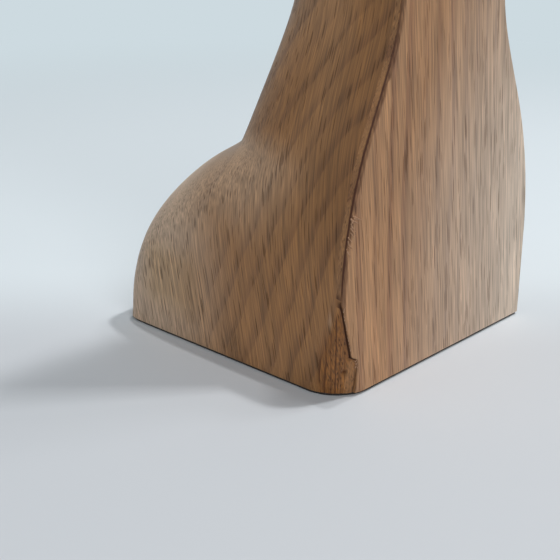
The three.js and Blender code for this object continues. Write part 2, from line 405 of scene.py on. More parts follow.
def torn_splits(tree, place):
    """Upright lines across a torn corner, each with its own strength."""
    over = add(tree, VECTOR_MATH, (place, SPLIT_FACING), operation="DOT_PRODUCT").outputs["Value"]
    sway = add(tree, NOISE, {"Vector": stretched(tree, place, *SPLIT_SWAY), "Scale": 1.0, "Detail": 1.0})
    swayed = add(tree, MATH, (sway, SPLIT_WANDER, over), operation="MULTIPLY_ADD")
    counted = add(tree, MATH, (swayed, SPLIT_PITCH), operation="DIVIDE")
    across = add(tree, MATH, (counted,), operation="FRACT")
    number = add(tree, MATH, (counted,), operation="FLOOR")
    chance = add(tree, "ShaderNodeTexWhiteNoise", {"W": number}, noise_dimensions="1D").outputs["Value"]
    strength = add(tree, MAP_RANGE, {"Value": chance, "To Min": 0.3})
    aside = add(tree, MATH, (across, 0.5), operation="SUBTRACT")
    beside = add(tree, MATH, (aside,), operation="ABSOLUTE")
    thin = add(tree, MAP_RANGE, {"Value": beside, "From Min": 0.24, "From Max": 0.08},
               interpolation_type="SMOOTHSTEP")
    return add(tree, MATH, (thin, strength), operation="MULTIPLY")


print("streaks are", STREAK_WIDTH, "and", FIBRE_WIDTH, "mm wide, splits", SPLIT_PITCH, "mm apart")

# %% [markdown]
# The sights are joined in one group with a place in the log as its input. A group can be used by
# several materials, each with its own place and ring direction, so the two pieces look as if they
# were sawn from different logs of the same kind of oak.


# %% Oak figure, shared by both oak materials
def oak_figure():
    """A node group: from a place in the log to rings, pores, streaks, tone and splits."""
    tree = bpy.data.node_groups.new("Oak figure", "ShaderNodeTree")
    for label, kind in (("Place", "Vector"), ("Ring Direction", "Vector"), ("Ring Pitch", "Float")):
        tree.interface.new_socket(label, in_out="INPUT", socket_type="NodeSocket" + kind)
    for label in ("Ring", "Pore", "Streak", "Tone", "Split"):
        tree.interface.new_socket(label, in_out="OUTPUT", socket_type="NodeSocketFloat")
    given = add(tree, "NodeGroupInput").outputs
    place = given["Place"]
    ring = growth_rings(tree, place, given["Ring Direction"], given["Ring Pitch"])
    tone = add(tree, NOISE, {"Vector": stretched(tree, place, *TONE_CLOUD), "Scale": 1.0, "Detail": 3.0})
    add(tree, "NodeGroupOutput",
        {"Ring": ring, "Pore": open_pores(tree, place, ring), "Streak": fibre_streaks(tree, place),
         "Tone": tone, "Split": torn_splits(tree, place)})
    return tree


figure_group = oak_figure()
print("oak figure group has", len(figure_group.nodes), "nodes")

# %% [markdown]
# Oiled oak itself. Oil leaves a satin skin and deepens the colour. Where it is torn bare, the wood is
# browner and rougher. The pieces carry what has happened to them as painted attributes: grain is the
# place in the log, steep says how squarely the surface cuts the fibres, and bare marks torn wood. One
# attribute turns the wood pale and greyish: mostly a painted sheen, and a little real rubbing. Another
# darkens it: with dirty places and glue lines, and with painted shade in the crack, the pit, the
# crease and along the arris. So one material serves the whole of a piece, and the wear and the
# painted light can follow its shape.

# %% Colour of oiled oak
BARE_TINT = "#dfc878"
# The dark colour serves both dirt and painted shade
GRIME_AND_SHADE_COLOUR = "#44200a"


def oak_colour(tree, figure, open_pore, long_cut, bare, dirt_and_shade, light, dark, pale, pore):
    """Rings, paler under painted sheen and some rubbing, then streaks, bare wood, pores, and dirty places
    and painted shade.
    """
    rings = add(tree, MIX, {"Factor": figure["Ring"], "A": linear(light), "B": linear(dark)},
                data_type="RGBA")
    # The painted sheen, with a little real rubbing, fades the rings towards the pale colour
    rubbed_and_sheen = add(tree, ATTRIBUTE, attribute_name="rubbed_and_sheen").outputs["Fac"]
    ground = add(tree, MIX, {"Factor": rubbed_and_sheen, "A": rings, "B": linear(pale)}, data_type="RGBA")
    least = add(tree, MAP_RANGE, {"Value": bare, "To Min": 0.55, "To Max": 0.4})
    most = add(tree, MAP_RANGE, {"Value": bare, "To Min": 1.38, "To Max": 1.5})
    streak = add(tree, MAP_RANGE, {"Value": figure["Streak"], "From Min": 0.3, "From Max": 0.7,
                                   "To Min": least, "To Max": most})
    oil = add(tree, MAP_RANGE, {"Value": figure["Tone"], "From Min": 0.3, "From Max": 0.7,
                                "To Min": 0.86, "To Max": 1.12})
    shown = add(tree, MIX, {"Factor": long_cut, "A": 1.0, "B": streak}, data_type="FLOAT")
    both = add(tree, MATH, (shown, oil), operation="MULTIPLY")
    toned = add(tree, MIX, {"Factor": 1.0, "A": ground, "B": both}, data_type="RGBA",
                blend_type="MULTIPLY")
    torn = add(tree, MIX, {"Factor": bare, "A": toned, "B": linear(BARE_TINT)}, data_type="RGBA",
               blend_type="MULTIPLY")
    cut_open = add(tree, MAP_RANGE, {"Value": bare, "To Min": 0.48, "To Max": 0.8})
    depth = add(tree, MATH, (open_pore, cut_open), operation="MULTIPLY")
    pored = add(tree, MIX, {"Factor": depth, "A": torn, "B": linear(pore)}, data_type="RGBA")
    # Dirty places and painted shade darken it towards the dark colour
    return add(tree, MIX, {"Factor": dirt_and_shade, "A": pored, "B": linear(GRIME_AND_SHADE_COLOUR)}, data_type="RGBA")


print("grime is", GRIME_AND_SHADE_COLOUR, "and bare wood is tinted by", BARE_TINT)

# %% [markdown]
# The figure needs the axes of the log, whose third axis runs along the fibres. A Mapping node turns
# the place into them and scales it to millimetres. Gloss and relief follow the same signs as the
# colour: pores are sunk and dull, dirt and painted shade are dull, and a thin coat stands for the skin
# of oil and wax.
# colour: pores are sunk and dull, dirt is dull, and a thin coat stands for the skin of oil and wax.


# %% The axes of the log
def log_axes(fibres):
    """The turn from the wedge's axes to the log's, whose third axis runs along the fibres."""
    along = Vector(fibres).normalized()
    across = Vector((1, 0, 0))
    across = (across - along * across.dot(along)).normalized()
    return Matrix((across, along.cross(across), along))


print("upright fibres turn the axes by", round(math.degrees(log_axes((0, 0, 1)).to_quaternion().angle)),
      "degrees")

# %% Oiled oak
RING_PITCH = 4.4
PORE_DEPTH = 0.05 * MM


def oiled_oak(name, fibres, ring_direction, shift, **colours):
    """Scraped or planed oak under oil and wax: satin, open-pored, darker where bare or dirty."""
    material, tree = start_material(name)
    turn = log_axes(fibres)
    laid = add(tree, ATTRIBUTE, attribute_name="grain").outputs["Vector"]
    place = add(tree, "ShaderNodeMapping", {"Vector": laid, "Location": shift,
                                            "Rotation": turn.to_euler(), "Scale": (1 / MM,) * 3})
    towards = turn @ Vector(ring_direction).normalized()
    figure = add(tree, "ShaderNodeGroup", {"Place": place, "Ring Direction": towards,
                                           "Ring Pitch": RING_PITCH}, node_tree=figure_group).outputs
    bare = add(tree, ATTRIBUTE, attribute_name="bare").outputs["Fac"]

    # A cut across the fibres shows only short closed dots, so pores and streaks fade there
    steep = add(tree, ATTRIBUTE, attribute_name="steep").outputs["Fac"]
    long_cut = add(tree, MAP_RANGE, {"Value": steep, "From Min": 0.25, "From Max": 0.65,
                                     "To Min": 1.0, "To Max": 0.25})
    open_pore = add(tree, MATH, (figure["Pore"], long_cut), operation="MULTIPLY")

    # Dirt and painted shade sit where they were painted, and dirt also in the splits of torn wood
    grime_and_shade = add(tree, ATTRIBUTE, attribute_name="grime_and_shade").outputs["Fac"]
    split_open = add(tree, MAP_RANGE, {"Value": bare, "From Min": 0.3, "From Max": 0.75})
    split = add(tree, MATH, (figure["Split"], split_open), operation="MULTIPLY")
    dirt_and_shade = add(tree, MATH, (grime_and_shade, split), operation="MAXIMUM")

    # Relief: pores are sunk, light streaks stand a little proud
    proud = add(tree, MATH, (figure["Streak"], 0.8), operation="MULTIPLY")
    relief = add(tree, MATH, (proud, open_pore), operation="SUBTRACT")
    bump = add(tree, "ShaderNodeBump", {"Strength": 0.8, "Distance": PORE_DEPTH, "Height": relief})
    rough = add(tree, MATH, (open_pore, dirt_and_shade), operation="MAXIMUM")
    dull = add(tree, MAP_RANGE, {"Value": rough, "To Min": 0.5, "To Max": 0.9})
    colour = oak_colour(tree, figure, open_pore, long_cut, bare, dirt_and_shade, **colours)
    shader = add(tree, "ShaderNodeBsdfPrincipled",
                 {"Base Color": colour, "Roughness": dull, "IOR": 1.5, "Normal": bump,
                  "Coat Weight": 0.12, "Coat Roughness": 0.32, "Coat IOR": 1.5})
    add(tree, "ShaderNodeOutputMaterial", {"Surface": shader})
    return material


print("rings are", RING_PITCH, "mm apart and pores", round(PORE_DEPTH / MM, 2), "mm deep")

# %% [markdown]
# The block was scraped to its curves and the board was planed flat. The fibres of the block lean
# back a little and its rings lie behind one another, so the cheek shows slanting bands. The board
# was sawn with its rings side by side, so its face shows upright lines, and it is a little paler.

# %% The two pieces of oak
BLOCK_FIBRES = (-0.02, 0.19, 1.0)
BOARD_FIBRES = (-0.12, 0.0, 1.0)
oiled_core = oiled_oak("Oiled scraped oak", BLOCK_FIBRES, (-0.19, 1.0, 0.42), (3.0, 2.3, 0.0),
                       light="#a1703f", dark="#895d34", pale="#d2b498", pore="#3f2612")
oiled_board = oiled_oak("Oiled planed oak", BOARD_FIBRES, (1.0, 0.3, 0.055), (17.0, 40.0, 12.0),
                        light="#b18258", dark="#946643", pale="#d5bfaa", pore="#553620")
print("oak materials:", oiled_core.name, "and", oiled_board.name)

# %% [markdown]
# The block of oak. Its shape follows the templates, so a Geometry Nodes tree can skin it: a mesh
# cylinder already has closed ends, rings and points round each ring, and every point only has to
# be moved to where the section at its height says. Most points go over the back, from cheek to
# cheek, as a superellipse. The rest come home along the flat glue face. Both are crowded towards
# the kicked corner, where the close detail is.

# %% The section, over the back and home along the glue face
GLUE_EASE = 1.4


def over_the_back(tree, over, crowding, glue_depth, measures):
    """Sideways and depth, as shares of the half width and of the thickness, over the back."""
    # Crowd the points, turn them into a direction, and cut it at the superellipse
    left = add(tree, MATH, (1.0, over), operation="SUBTRACT")
    push = add(tree, MATH, (crowding, left, 1.0), operation="MULTIPLY_ADD")
    crowded = add(tree, MATH, (over, push), operation="MULTIPLY")
    slope = add(tree, MATH, (glue_depth, measures["deep"]), operation="DIVIDE")
    first = add(tree, MATH, (slope,), operation="ARCTANGENT")
    sweep = add(tree, MATH, (first, -2.0, math.pi), operation="MULTIPLY_ADD")
    aim = add(tree, MATH, (crowded, sweep, first), operation="MULTIPLY_ADD")
    sides = [add(tree, MATH, (aim,), operation=name) for name in ("COSINE", "SINE")]
    sizes = [add(tree, MATH, (side,), operation="ABSOLUTE") for side in sides]
    powers = [add(tree, MATH, (size, measures["power"]), operation="POWER") for size in sizes]
    total = add(tree, MATH, powers, operation="ADD")
    root = add(tree, MATH, (-1.0, measures["power"]), operation="DIVIDE")
    reach = add(tree, MATH, (total, root), operation="POWER")
    return [add(tree, MATH, (side, reach), operation="MULTIPLY") for side in sides]


def along_the_glue(tree, home, break_share, measures):
    """Sideways along the glue face: to the break, and then on to the other corner."""
    in_break = add(tree, MAP_RANGE, {"Value": home, "From Max": break_share,
                                     "To Max": measures["broken"]})
    whole = add(tree, MATH, (measures["half"], 2.0), operation="MULTIPLY")
    rest = add(tree, MATH, (whole, measures["broken"]), operation="SUBTRACT")
    past = add(tree, MAP_RANGE, {"Value": home, "From Min": break_share})
    eased = add(tree, MATH, (past, GLUE_EASE), operation="POWER")
    run = add(tree, MATH, (eased, rest, in_break), operation="MULTIPLY_ADD")
    return add(tree, MATH, (run, measures["half"]), operation="SUBTRACT")


print("past the break the points spread out as a power of", GLUE_EASE)

# %% A tree that skins the block over its templates
CORE_INPUTS = {"Points Around": "Int", "Templates": "Int", "Back Share": "Float", "Crowding": "Float",
               "Break Share": "Float", "Sole Place": "Float", "Glue Depth": "Float",
               "Material": "Material"}
CORE_MEASURES = ("height", "half", "deep", "power", "broken")


def core_tree():
    """Skin a D-shaped section over the templates, closed at the foot and the toe."""
    tree, given = start_tree("Skin the block", CORE_INPUTS)
    old = add(tree, "GeometryNodeInputPosition")
    spot = add(tree, SPLIT_XYZ, {"Vector": old}).outputs
    level, last = template_level(tree, spot["Z"], given["Templates"])
    tube = add(tree, "GeometryNodeMeshCylinder",
               {"Vertices": given["Points Around"], "Side Segments": last, "Fill Segments": 6,
                "Radius": 1.0, "Depth": 1.0}, fill_type="TRIANGLE_FAN").outputs["Mesh"]
    measures = template_measures(tree, given["Geometry"], level, CORE_MEASURES)

    # How far round the ring, from 0 to 1, and how far along its back or its glue face
    share = given["Back Share"]
    angle = add(tree, MATH, (spot["Y"], spot["X"]), operation="ARCTAN2")
    turns = add(tree, MATH, (angle, math.tau), operation="DIVIDE")
    part = add(tree, MATH, (turns,), operation="FRACT")
    over = add(tree, MATH, (part, share), operation="DIVIDE", use_clamp=True)
    home = add(tree, MAP_RANGE, {"Value": part, "From Min": share})
    back_x, back_y = over_the_back(tree, over, given["Crowding"], given["Glue Depth"], measures)
    wide_x = add(tree, MATH, (back_x, measures["half"]), operation="MULTIPLY")
    back_deep = add(tree, MATH, (back_y, measures["deep"]), operation="MULTIPLY")
    glue_x = along_the_glue(tree, home, given["Break Share"], measures)
    on_back = add(tree, MATH, (part, share), operation="LESS_THAN")
    edge_x = add(tree, MIX, {"Factor": on_back, "A": glue_x, "B": wide_x}, data_type="FLOAT")
    edge_y = add(tree, MIX, {"Factor": on_back, "A": given["Glue Depth"], "B": back_deep},
                 data_type="FLOAT")

    # The fans at both ends are drawn in towards the middle of the section
    flat = add(tree, JOIN_XYZ, {"X": spot["X"], "Y": spot["Y"]})
    out = add(tree, VECTOR_MATH, (flat,), operation="LENGTH").outputs["Value"]
    middle = add(tree, MATH, (measures["deep"], 0.5), operation="MULTIPLY")
    drawn_x = add(tree, MATH, (edge_x, out), operation="MULTIPLY")
    drawn_y = add(tree, MIX, {"Factor": out, "A": middle, "B": edge_y}, data_type="FLOAT")
    place_y = add(tree, MATH, (drawn_y, given["Sole Place"]), operation="ADD")
    new = add(tree, JOIN_XYZ, {"X": drawn_x, "Y": place_y, "Z": measures["height"]})
    moved = add(tree, "GeometryNodeSetPosition", {"Geometry": tube, "Position": new})
    smooth = add(tree, "GeometryNodeSetShadeSmooth", {"Geometry": moved, "Shade Smooth": True})
    return end_tree(tree, smooth, given["Material"])


print("the block's tree takes", len(CORE_INPUTS), "inputs and", len(CORE_MEASURES), "measures a height")

# %% [markdown]
# The tree runs on the chain of templates. The templates set how fine the mesh is along the grain,
# and the columns how fine it is across it. It is finest at the kicked corner.

# %% Skinning the block
BREAK_COLUMNS = 20
GLUE_COLUMNS = 54
BACK_COLUMNS = 280
BACK_CROWDING = 0.6
ARRIS_REACH = 0.5 * MM
around = BACK_COLUMNS + GLUE_COLUMNS
core_measures = {"height": heights, "half": half_width(heights), "deep": thickness(heights),
                 "power": squareness(heights), "broken": np.maximum(break_width(heights), ARRIS_REACH)}
core_values = {"Points Around": around, "Templates": len(heights), "Back Share": BACK_COLUMNS / around,
               "Crowding": BACK_CROWDING, "Break Share": BREAK_COLUMNS / GLUE_COLUMNS,
               "Sole Place": SOLE, "Glue Depth": BOARD_THICK, "Material": oiled_core}
core = grow("oak_block", template_mesh("block_templates", heights, core_measures), core_tree(),
            core_values)

# %% [markdown]
# What has happened to the wood is worked into the dense mesh by moving its points, which is the
# nearest thing to what wear does. Modifiers could do some of it, but each rule here needs the
# distance in from the cheek, the depth behind the sole and the height, and those are one line each
# on a list of points. The same list takes the painted attributes. All the noise is seeded.


# %% Reading, moving and painting points
def points_of(piece):
    """The places of a piece's points as rows of x, y and z."""
    flat = np.empty(len(piece.data.vertices) * 3)
    piece.data.vertices.foreach_get("co", flat)
    return flat.reshape(-1, 3)


def normals_of(piece):
    """The directions that a piece's surface faces at its points."""
    flat = np.empty(len(piece.data.vertices) * 3)
    piece.data.vertex_normals.foreach_get("vector", flat)
    return flat.reshape(-1, 3)


def set_points(piece, points):
    """Write the places of a piece's points back."""
    piece.data.vertices.foreach_set("co", points.ravel())
    piece.data.update()


def paint(piece, label, values):
    """Write one number at each point of a piece, for its material to read."""
    layer = piece.data.attributes.get(label) or piece.data.attributes.new(label, "FLOAT", "POINT")
    layer.data.foreach_set("value", np.asarray(values, np.float32))


print("the block has", len(points_of(core)), "points")


# %% Rules for shaping and painting
def ramp(value, start, end):
    """0 up to the start and 1 from the end on; the end may lie below the start."""
    return np.clip((value - start) / (end - start), 0, 1)


def dab(across, up, middle, reach):
    """A soft round spot: 1 in its middle, and faded out past its reach."""
    return np.exp(-((across - middle[0]) / reach[0]) ** 2 - ((up - middle[1]) / reach[1]) ** 2)


def grain_noise(points, across, along, seed):
    """Smooth noise between -1 and 1 that is drawn out along the fibres."""
    shift = Vector((seed * 7.3, seed * 3.1, seed * 5.7))
    scaled = points / (across, across, along)
    return np.array([noise.noise(Vector(row) + shift) for row in scaled])


print("halfway up a ramp is", float(ramp(1.5, 1, 2)), "and the middle of a dab",
      float(dab(0, 0, (0, 0), (1, 1))))


# %% Finer faces where they are needed
def refine(piece, inside):
    """Split the faces inside a region into four."""
    bm = bmesh.new()
    bm.from_mesh(piece.data)
    edges = {edge for face in bm.faces if inside(face.calc_center_median()) for edge in face.edges}
    bmesh.ops.subdivide_edges(bm, edges=list(edges), cuts=1, use_grid_fill=True)
    bm.to_mesh(piece.data)
    bm.free()
    print(piece.name, "now has", len(piece.data.polygons), "faces")


# %% [markdown]
# The kicked corner. On the real block the wood is worn round at the foot, and where the board has
# broken off, torn fibres of it still cling to the glue face. First the corner is brought onto the
# worn arc, and torn wood is brought forward to just short of the broken edge, so that a narrow gap
# is left beside it. Then the bare patch is roughened along the grain and gets one deeper pit.

# %% The worn corner
GAP = 0.3 * MM
GAP_COLUMNS = 3
TOUCH = 0.01 * MM
NOTHING = 1e-9


def kicked_places(inward, deep, height, on_glue):
    """How far in and how deep the points lie once the corner has been kicked."""
    radius = wear_radius(height)
    broken = break_width(height)

    # The cheek side: straight out from the middle of the arc
    reach = np.hypot(inward - radius, deep - radius)
    outside = (inward < radius) & (deep < radius) & (reach > radius) & ~on_glue
    pull = np.where(outside, radius / np.maximum(reach, NOTHING), 1)
    new_inward = np.where(outside, radius + (inward - radius) * pull, inward)
    new_deep = np.where(outside, radius + (deep - radius) * pull, deep)

    # The glue side: torn wood from the end of the cheek's arc to just short of the break, then a
    # gap down to the glue face
    turn = np.arctan2(np.maximum(radius - BOARD_THICK, 0), np.maximum(radius, 0.001 * MM))
    start = radius * (1 - np.cos(turn))
    share = inward / np.maximum(broken, NOTHING) * BREAK_COLUMNS / (BREAK_COLUMNS - GAP_COLUMNS)
    torn = on_glue & (share < 1.001) & (height < BREAK_HEIGHT)
    end = np.maximum(broken - GAP, start)
    new_inward = np.where(torn, start + share * (end - start), new_inward)
    new_deep = np.where(torn, arc_depth(new_inward, radius), new_deep)
    return new_inward, new_deep


print("the torn wood ends", round(GAP / MM, 2), "mm short of the broken edge")

# %% Bare torn wood
BARE_HEIGHTS = np.array([0.2, 7.1, 10.2, 14.6, 19.9]) * MM
BARE_WIDTHS = np.array([5.2, 5.3, 4.4, 2.2, 0.0]) * MM
BARE_BLUR = 0.8 * MM
TORN_DEPTH = 0.16 * MM
PIT_DEPTH = 0.45 * MM
PIT = np.array([2.4, 5.0]) * MM
PIT_REACH = np.array([0.35, 0.5]) * MM
PIT_LIMIT = 4 * MM

# Width and length of the noise that blurs the patch and cuts its ridges
BLUR_NOISE = (0.8 * MM, 5 * MM)
RIDGES = (0.4 * MM, 10 * MM)
FINE_RIDGES = (0.26 * MM, 8 * MM)


def bare_wood(points, inward, deep):
    """How bare each point is, and the ridges and the pit of the torn surface."""
    height = points[:, 2]
    width = np.interp(height, BARE_HEIGHTS, BARE_WIDTHS)
    blur = BARE_BLUR * (1 + grain_noise(points, *BLUR_NOISE, 1))
    bare = np.clip((width - deep + blur) / (2 * BARE_BLUR), 0, 1)
    bare *= (inward < break_width(height) + GAP) & (height < BREAK_HEIGHT)
    ridge = np.abs(grain_noise(points, *RIDGES, 2)) + 0.25 * grain_noise(points, *FINE_RIDGES, 3)
    pit = dab(inward, height, PIT, PIT_REACH) * (deep < PIT_LIMIT)
    return bare, ridge, pit


print("bare wood is torn up to", round(TORN_DEPTH / MM, 2), "mm deep, and", round(PIT_DEPTH / MM, 2),
      "mm in the pit")

# %% [markdown]
# Colour goes with the torn shape. Bare wood is browner, and also shows in a faint patch low on the
# cheek, where the oil has worn through. Dirt sits in the splits of the torn wood, and faintly in the
# glue line. Painted shade darkens the gap beside the break, a band beside the crack and the pit, the
# crease where the heel meets the tongue, and the cheek along the arris.

# %% Dirt and painted shade on the block
LINE_WIDTH = 0.12 * MM
LINE_REACH = 0.6 * MM
# A band of painted shade across the crease where the hump meets the neck
CREASE_SHADE_START = 41.5 * MM
CREASE_SHADE_BLUR = 2.5 * MM
CREASE_SHADE_SLOPE = 0.15
CREASE_SHADE_MIDDLE = 28 * MM
CREASE_SHADE_DEPTHS = (12 * MM, 18 * MM)
CREASE_SHADE_FADE = (62 * MM, 50 * MM)
# Painted shade on the cheek, fading out 13 mm in from the sole
SOLE_SHADE_DEPTH = 13 * MM
SOLE_SHADE_HEIGHTS = (20 * MM, 28 * MM)
CREVICE_SHARE = 0.1
CRACK_START = STUMP_TOP - 1.3 * MM
CRACK_BLUR = 1.5 * MM
CRACK_END = BREAK_HEIGHT - 0.7 * MM
BESIDE_REACH = 1.2 * MM


def block_grime_and_shade(inward, deep, height, on_glue, bare, ridge, pit):
    """How dark each point is painted: dirty places, and shade in the gap, the crease, the pit and along
    the arris.
    """
    broken = break_width(height)
    gap_shade = on_glue & (np.abs(inward - broken) < GAP * 1.3) & (height < BREAK_HEIGHT)
    in_line = (np.abs(deep - BOARD_THICK) < LINE_WIDTH) & (inward < LINE_REACH)
    crease_shade_start = CREASE_SHADE_START + (CREASE_SHADE_MIDDLE - deep) * CREASE_SHADE_SLOPE
    crease_shade = ramp(height, crease_shade_start, crease_shade_start + CREASE_SHADE_BLUR) * ramp(deep, *CREASE_SHADE_DEPTHS)
    crease_shade *= ramp(height, *CREASE_SHADE_FADE)
    sole_side_shade = ramp(deep, SOLE_SHADE_DEPTH, 0) * ramp(height, *SOLE_SHADE_HEIGHTS)
    crevice = bare * ramp(ridge, CREVICE_SHARE, 0)
    crack = np.maximum(ramp(height, CRACK_START, CRACK_START + CRACK_BLUR), 0.3)
    crack *= ramp(height, BREAK_HEIGHT, CRACK_END)
    beside = ramp(broken - inward, BESIDE_REACH, 0) * (broken > 0) * bare * crack

    # Each place with how dark it gets; the gap, the band beside the crack, the pit, the crease and the
    # cheek near the sole are painted shade
    layers = ((gap_shade * crack, 0.97), (in_line, 0.18), (crease_shade, 0.22), (sole_side_shade, 0.36),
              (crevice, 0.35), (beside, 0.45), (pit, 0.8))
    return np.maximum.reduce([layer * strength for layer, strength in layers])


print("the stain starts", round(CREASE_SHADE_START / MM, 1), "mm up")

# %% Wear and the break in the block
CORNER_BOX = (7 * MM, 9 * MM, 21 * MM)
SINK_SHARE = 0.7
STUMP_START = 2.7 * MM

# Where the faint patch low on the cheek sets in and ends, in depth and in height
PATCH_INWARD = 6 * MM
PATCH_DEPTHS = ((33 * MM, 38 * MM), (54 * MM, 49 * MM))
PATCH_HEIGHTS = ((3 * MM, 9 * MM), (21 * MM, 16 * MM))


def wear_block(piece):
    """Kick the corner of the block, tear its wood, and paint what is bare and what is dirty."""
    in_reach, deep_reach, high_reach = CORNER_BOX
    refine(piece, lambda c: c.x + HALF_HEEL < in_reach and c.y - SOLE < deep_reach and c.z < high_reach)
    points = points_of(piece)
    height = points[:, 2]
    half = half_width(height)
    on_glue = (np.abs(points[:, 1] - GLUE) < TOUCH) & (points[:, 0] + half > TOUCH / 10)
    inward, deep = kicked_places(points[:, 0] + half, points[:, 1] - SOLE, height, on_glue)
    bare, ridge, pit = bare_wood(points, inward, deep)
    sink = SINK_SHARE * bare * (TORN_DEPTH * (0.4 + ridge) + PIT_DEPTH * pit)
    set_points(piece, np.stack([inward - half + sink, deep + SOLE + sink, height], axis=1))

    stump = (inward > STUMP_START) & (height < STUMP_TOP) & (deep < BOARD_THICK)
    patch = (inward < PATCH_INWARD) * np.ones(len(points))
    for measure, bands in ((deep, PATCH_DEPTHS), (height, PATCH_HEIGHTS)):
        for band in bands:
            patch *= ramp(measure, *band)
    paint(piece, "bare", np.maximum(bare * np.where(stump, 0.55, 0.85), 0.4 * patch))
    # Dirty places, and painted shade in the gap, the crease, the pit and on the cheek near the sole
    paint(piece, "grime_and_shade", block_grime_and_shade(inward, deep, height, on_glue, bare, ridge, pit))
    print("bare wood at", int((bare > 0.5).sum()), "points")


wear_block(core)

# %% [markdown]
# Painted sheen. The back of the heel and the hump are painted paler and greyer, as a glancing sheen
# makes them look. The sheen sets in gradually with the distance from the sole, and is patchy. It could
# be a texture in the material, but it has to follow the shape, so it is painted. The stump of the
# board and a scuff on the arris above the break are a little pale too, from real wear.

# %% Painted sheen and worn places on the block
SHEEN_BACK = (0.4, 0.9)
SHEEN_HUMP = (0.12, 0.42)
SHEEN_ALL = (0.1, 0.5)
PATCHY_BACK = 0.15
PATCHY_NOISE = (14 * MM, 30 * MM)
HEEL_RISE = (14 * MM, 22 * MM)
HUMP_LOW = (20 * MM, 36 * MM)
HUMP_HIGH = (45 * MM, 39 * MM)
EDGE_BAND = (6 * MM, 20 * MM)
STUMP_IN = (2.4 * MM, 3 * MM)
STUMP_REACH = 5 * MM
STUMP_BLUR = 0.5 * MM
SCUFF = np.array([2.7, 15]) * MM
SCUFF_REACH = np.array([0.45, 1.6]) * MM
SCUFF_DEPTH = 1.5 * MM
MOST_PALE = 0.9


def soften(share):
    """A share from 0 to 1, eased at both ends."""
    return share ** 2 * (3 - 2 * share)


def paint_sheen_and_rubbing(piece):
    """Painted sheen, more and more towards the back of the heel, and the worn stump and scuff."""
    points = points_of(piece)
    height = points[:, 2]
    half = half_width(height)
    inward = points[:, 0] + half
    deep = points[:, 1] - SOLE
    back = deep / HEEL_THICK
    most = 0.82 + 0.13 * ramp(height, *HEEL_RISE)
    hump = ramp(height, *HUMP_LOW) * ramp(back, *SHEEN_HUMP) * ramp(height, *HUMP_HIGH)
    edges = 1 - 0.55 * ramp(half - np.abs(points[:, 0]), *EDGE_BAND)
    # The painted sheen grows towards the back of the heel and over the hump
    worn = np.maximum(most * soften(ramp(back, *SHEEN_BACK)), 0.45 * soften(hump)) * edges
    worn += 0.07 * ramp(back, *SHEEN_ALL)
    worn += 0.12 * grain_noise(points, *PATCHY_NOISE, 6) * (back > PATCHY_BACK)
    stump = ramp(inward, *STUMP_IN) * ramp(height, STUMP_TOP, STUMP_TOP - STUMP_BLUR)
    stump *= (deep < BOARD_THICK + GAP) & (inward < STUMP_REACH)
    scuff = dab(deep, height, SCUFF, SCUFF_REACH) * (inward < SCUFF_DEPTH)
    worn = np.maximum.reduce([worn, 0.08 * stump, 0.25 * scuff])
    paint(piece, "rubbed_and_sheen", np.clip(worn, 0, MOST_PALE))
    print(piece.name, "is rubbed pale at", int((worn > 0.5).sum()), "points")


paint_sheen_and_rubbing(core)

# %% [markdown]
# A cabinet scraper leaves long shallow waves in a carved face, which a flat face that was planed
# doesn't have. They show as slow changes in the sheen. Each point is pressed in along its own
# normal, by noise that is drawn out along the grain.

# %% Waves of the scraper
WAVE_DEPTH = 0.1 * MM
WAVE_NOISE = (9 * MM, 16 * MM)
GLUE_MARGIN = 0.4 * MM
FOOT_MARGIN = 1.5 * MM
TOE_MARGIN = 0.5 * MM


def scraper_waves(piece):
    """Press faint long waves into the carved faces, and none into the glue face and the ends."""
    points = points_of(piece)
    height = points[:, 2]
    depth = WAVE_DEPTH * (0.5 + 0.5 * grain_noise(points, *WAVE_NOISE, 4))
    carved = points[:, 1] > GLUE + GLUE_MARGIN
    carved &= (height > FOOT + FOOT_MARGIN) & (height < TOE - TOE_MARGIN)
    set_points(piece, points - normals_of(piece) * (depth * carved)[:, None])
    print("scraped", int(carved.sum()), "points, up to", round(WAVE_DEPTH / MM, 2), "mm deep")


scraper_waves(core)

# %% [markdown]
# Lie of the grain. This block was sawn from the foot of a trunk, where the fibres spread into the
# roots: they fan out over the shoulders of the heel, and higher up they lean over and follow the
# back of the tongue. That gives the long unbroken streaks over the shoulder. The bend could be made
# inside the material, but nodes don't know the templates. So each point is given its place in a log
# whose fibres run straight, and the material reads that place.

# %% Lie of the grain
BEND_START = 66 * MM
BEND_REACH = 22 * MM
BEND = 0.45
SLOPE_STEP = 0.5 * MM


def log_place(points):
    """Where each point would lie in the log if its fibres ran straight."""
    place = points.copy()
    place[:, 0] *= HALF_HEEL / half_width(points[:, 2])
    place[:, 1] += BEND * filleted_max(points[:, 2], BEND_START, BEND_REACH)
    return place


def spreading_fibres(points):
    """The direction of the fibres at each point of the block."""
    drift = (log_place(points + (0, 0, SLOPE_STEP)) - log_place(points)) / SLOPE_STEP
    inwards = -drift[:, 0] * half_width(points[:, 2]) / HALF_HEEL
    return np.stack([inwards, BLOCK_FIBRES[1] - drift[:, 1], np.ones(len(points))], axis=1)


def lay_grain(piece, places, fibres):
    """Keep each point's place in its log, and how steeply the surface cuts the fibres there."""
    layer = piece.data.attributes.new("grain", "FLOAT_VECTOR", "POINT")
    layer.data.foreach_set("vector", places.astype(np.float32).ravel())
    along = fibres / np.linalg.norm(fibres, axis=1, keepdims=True)
    steep = np.abs((normals_of(piece) * along).sum(axis=1))
    paint(piece, "steep", steep)
    print(piece.name, "cuts its fibres steeply at", int((steep > 0.5).sum()), "points")


core_points = points_of(core)
lay_grain(core, log_place(core_points), spreading_fibres(core_points))

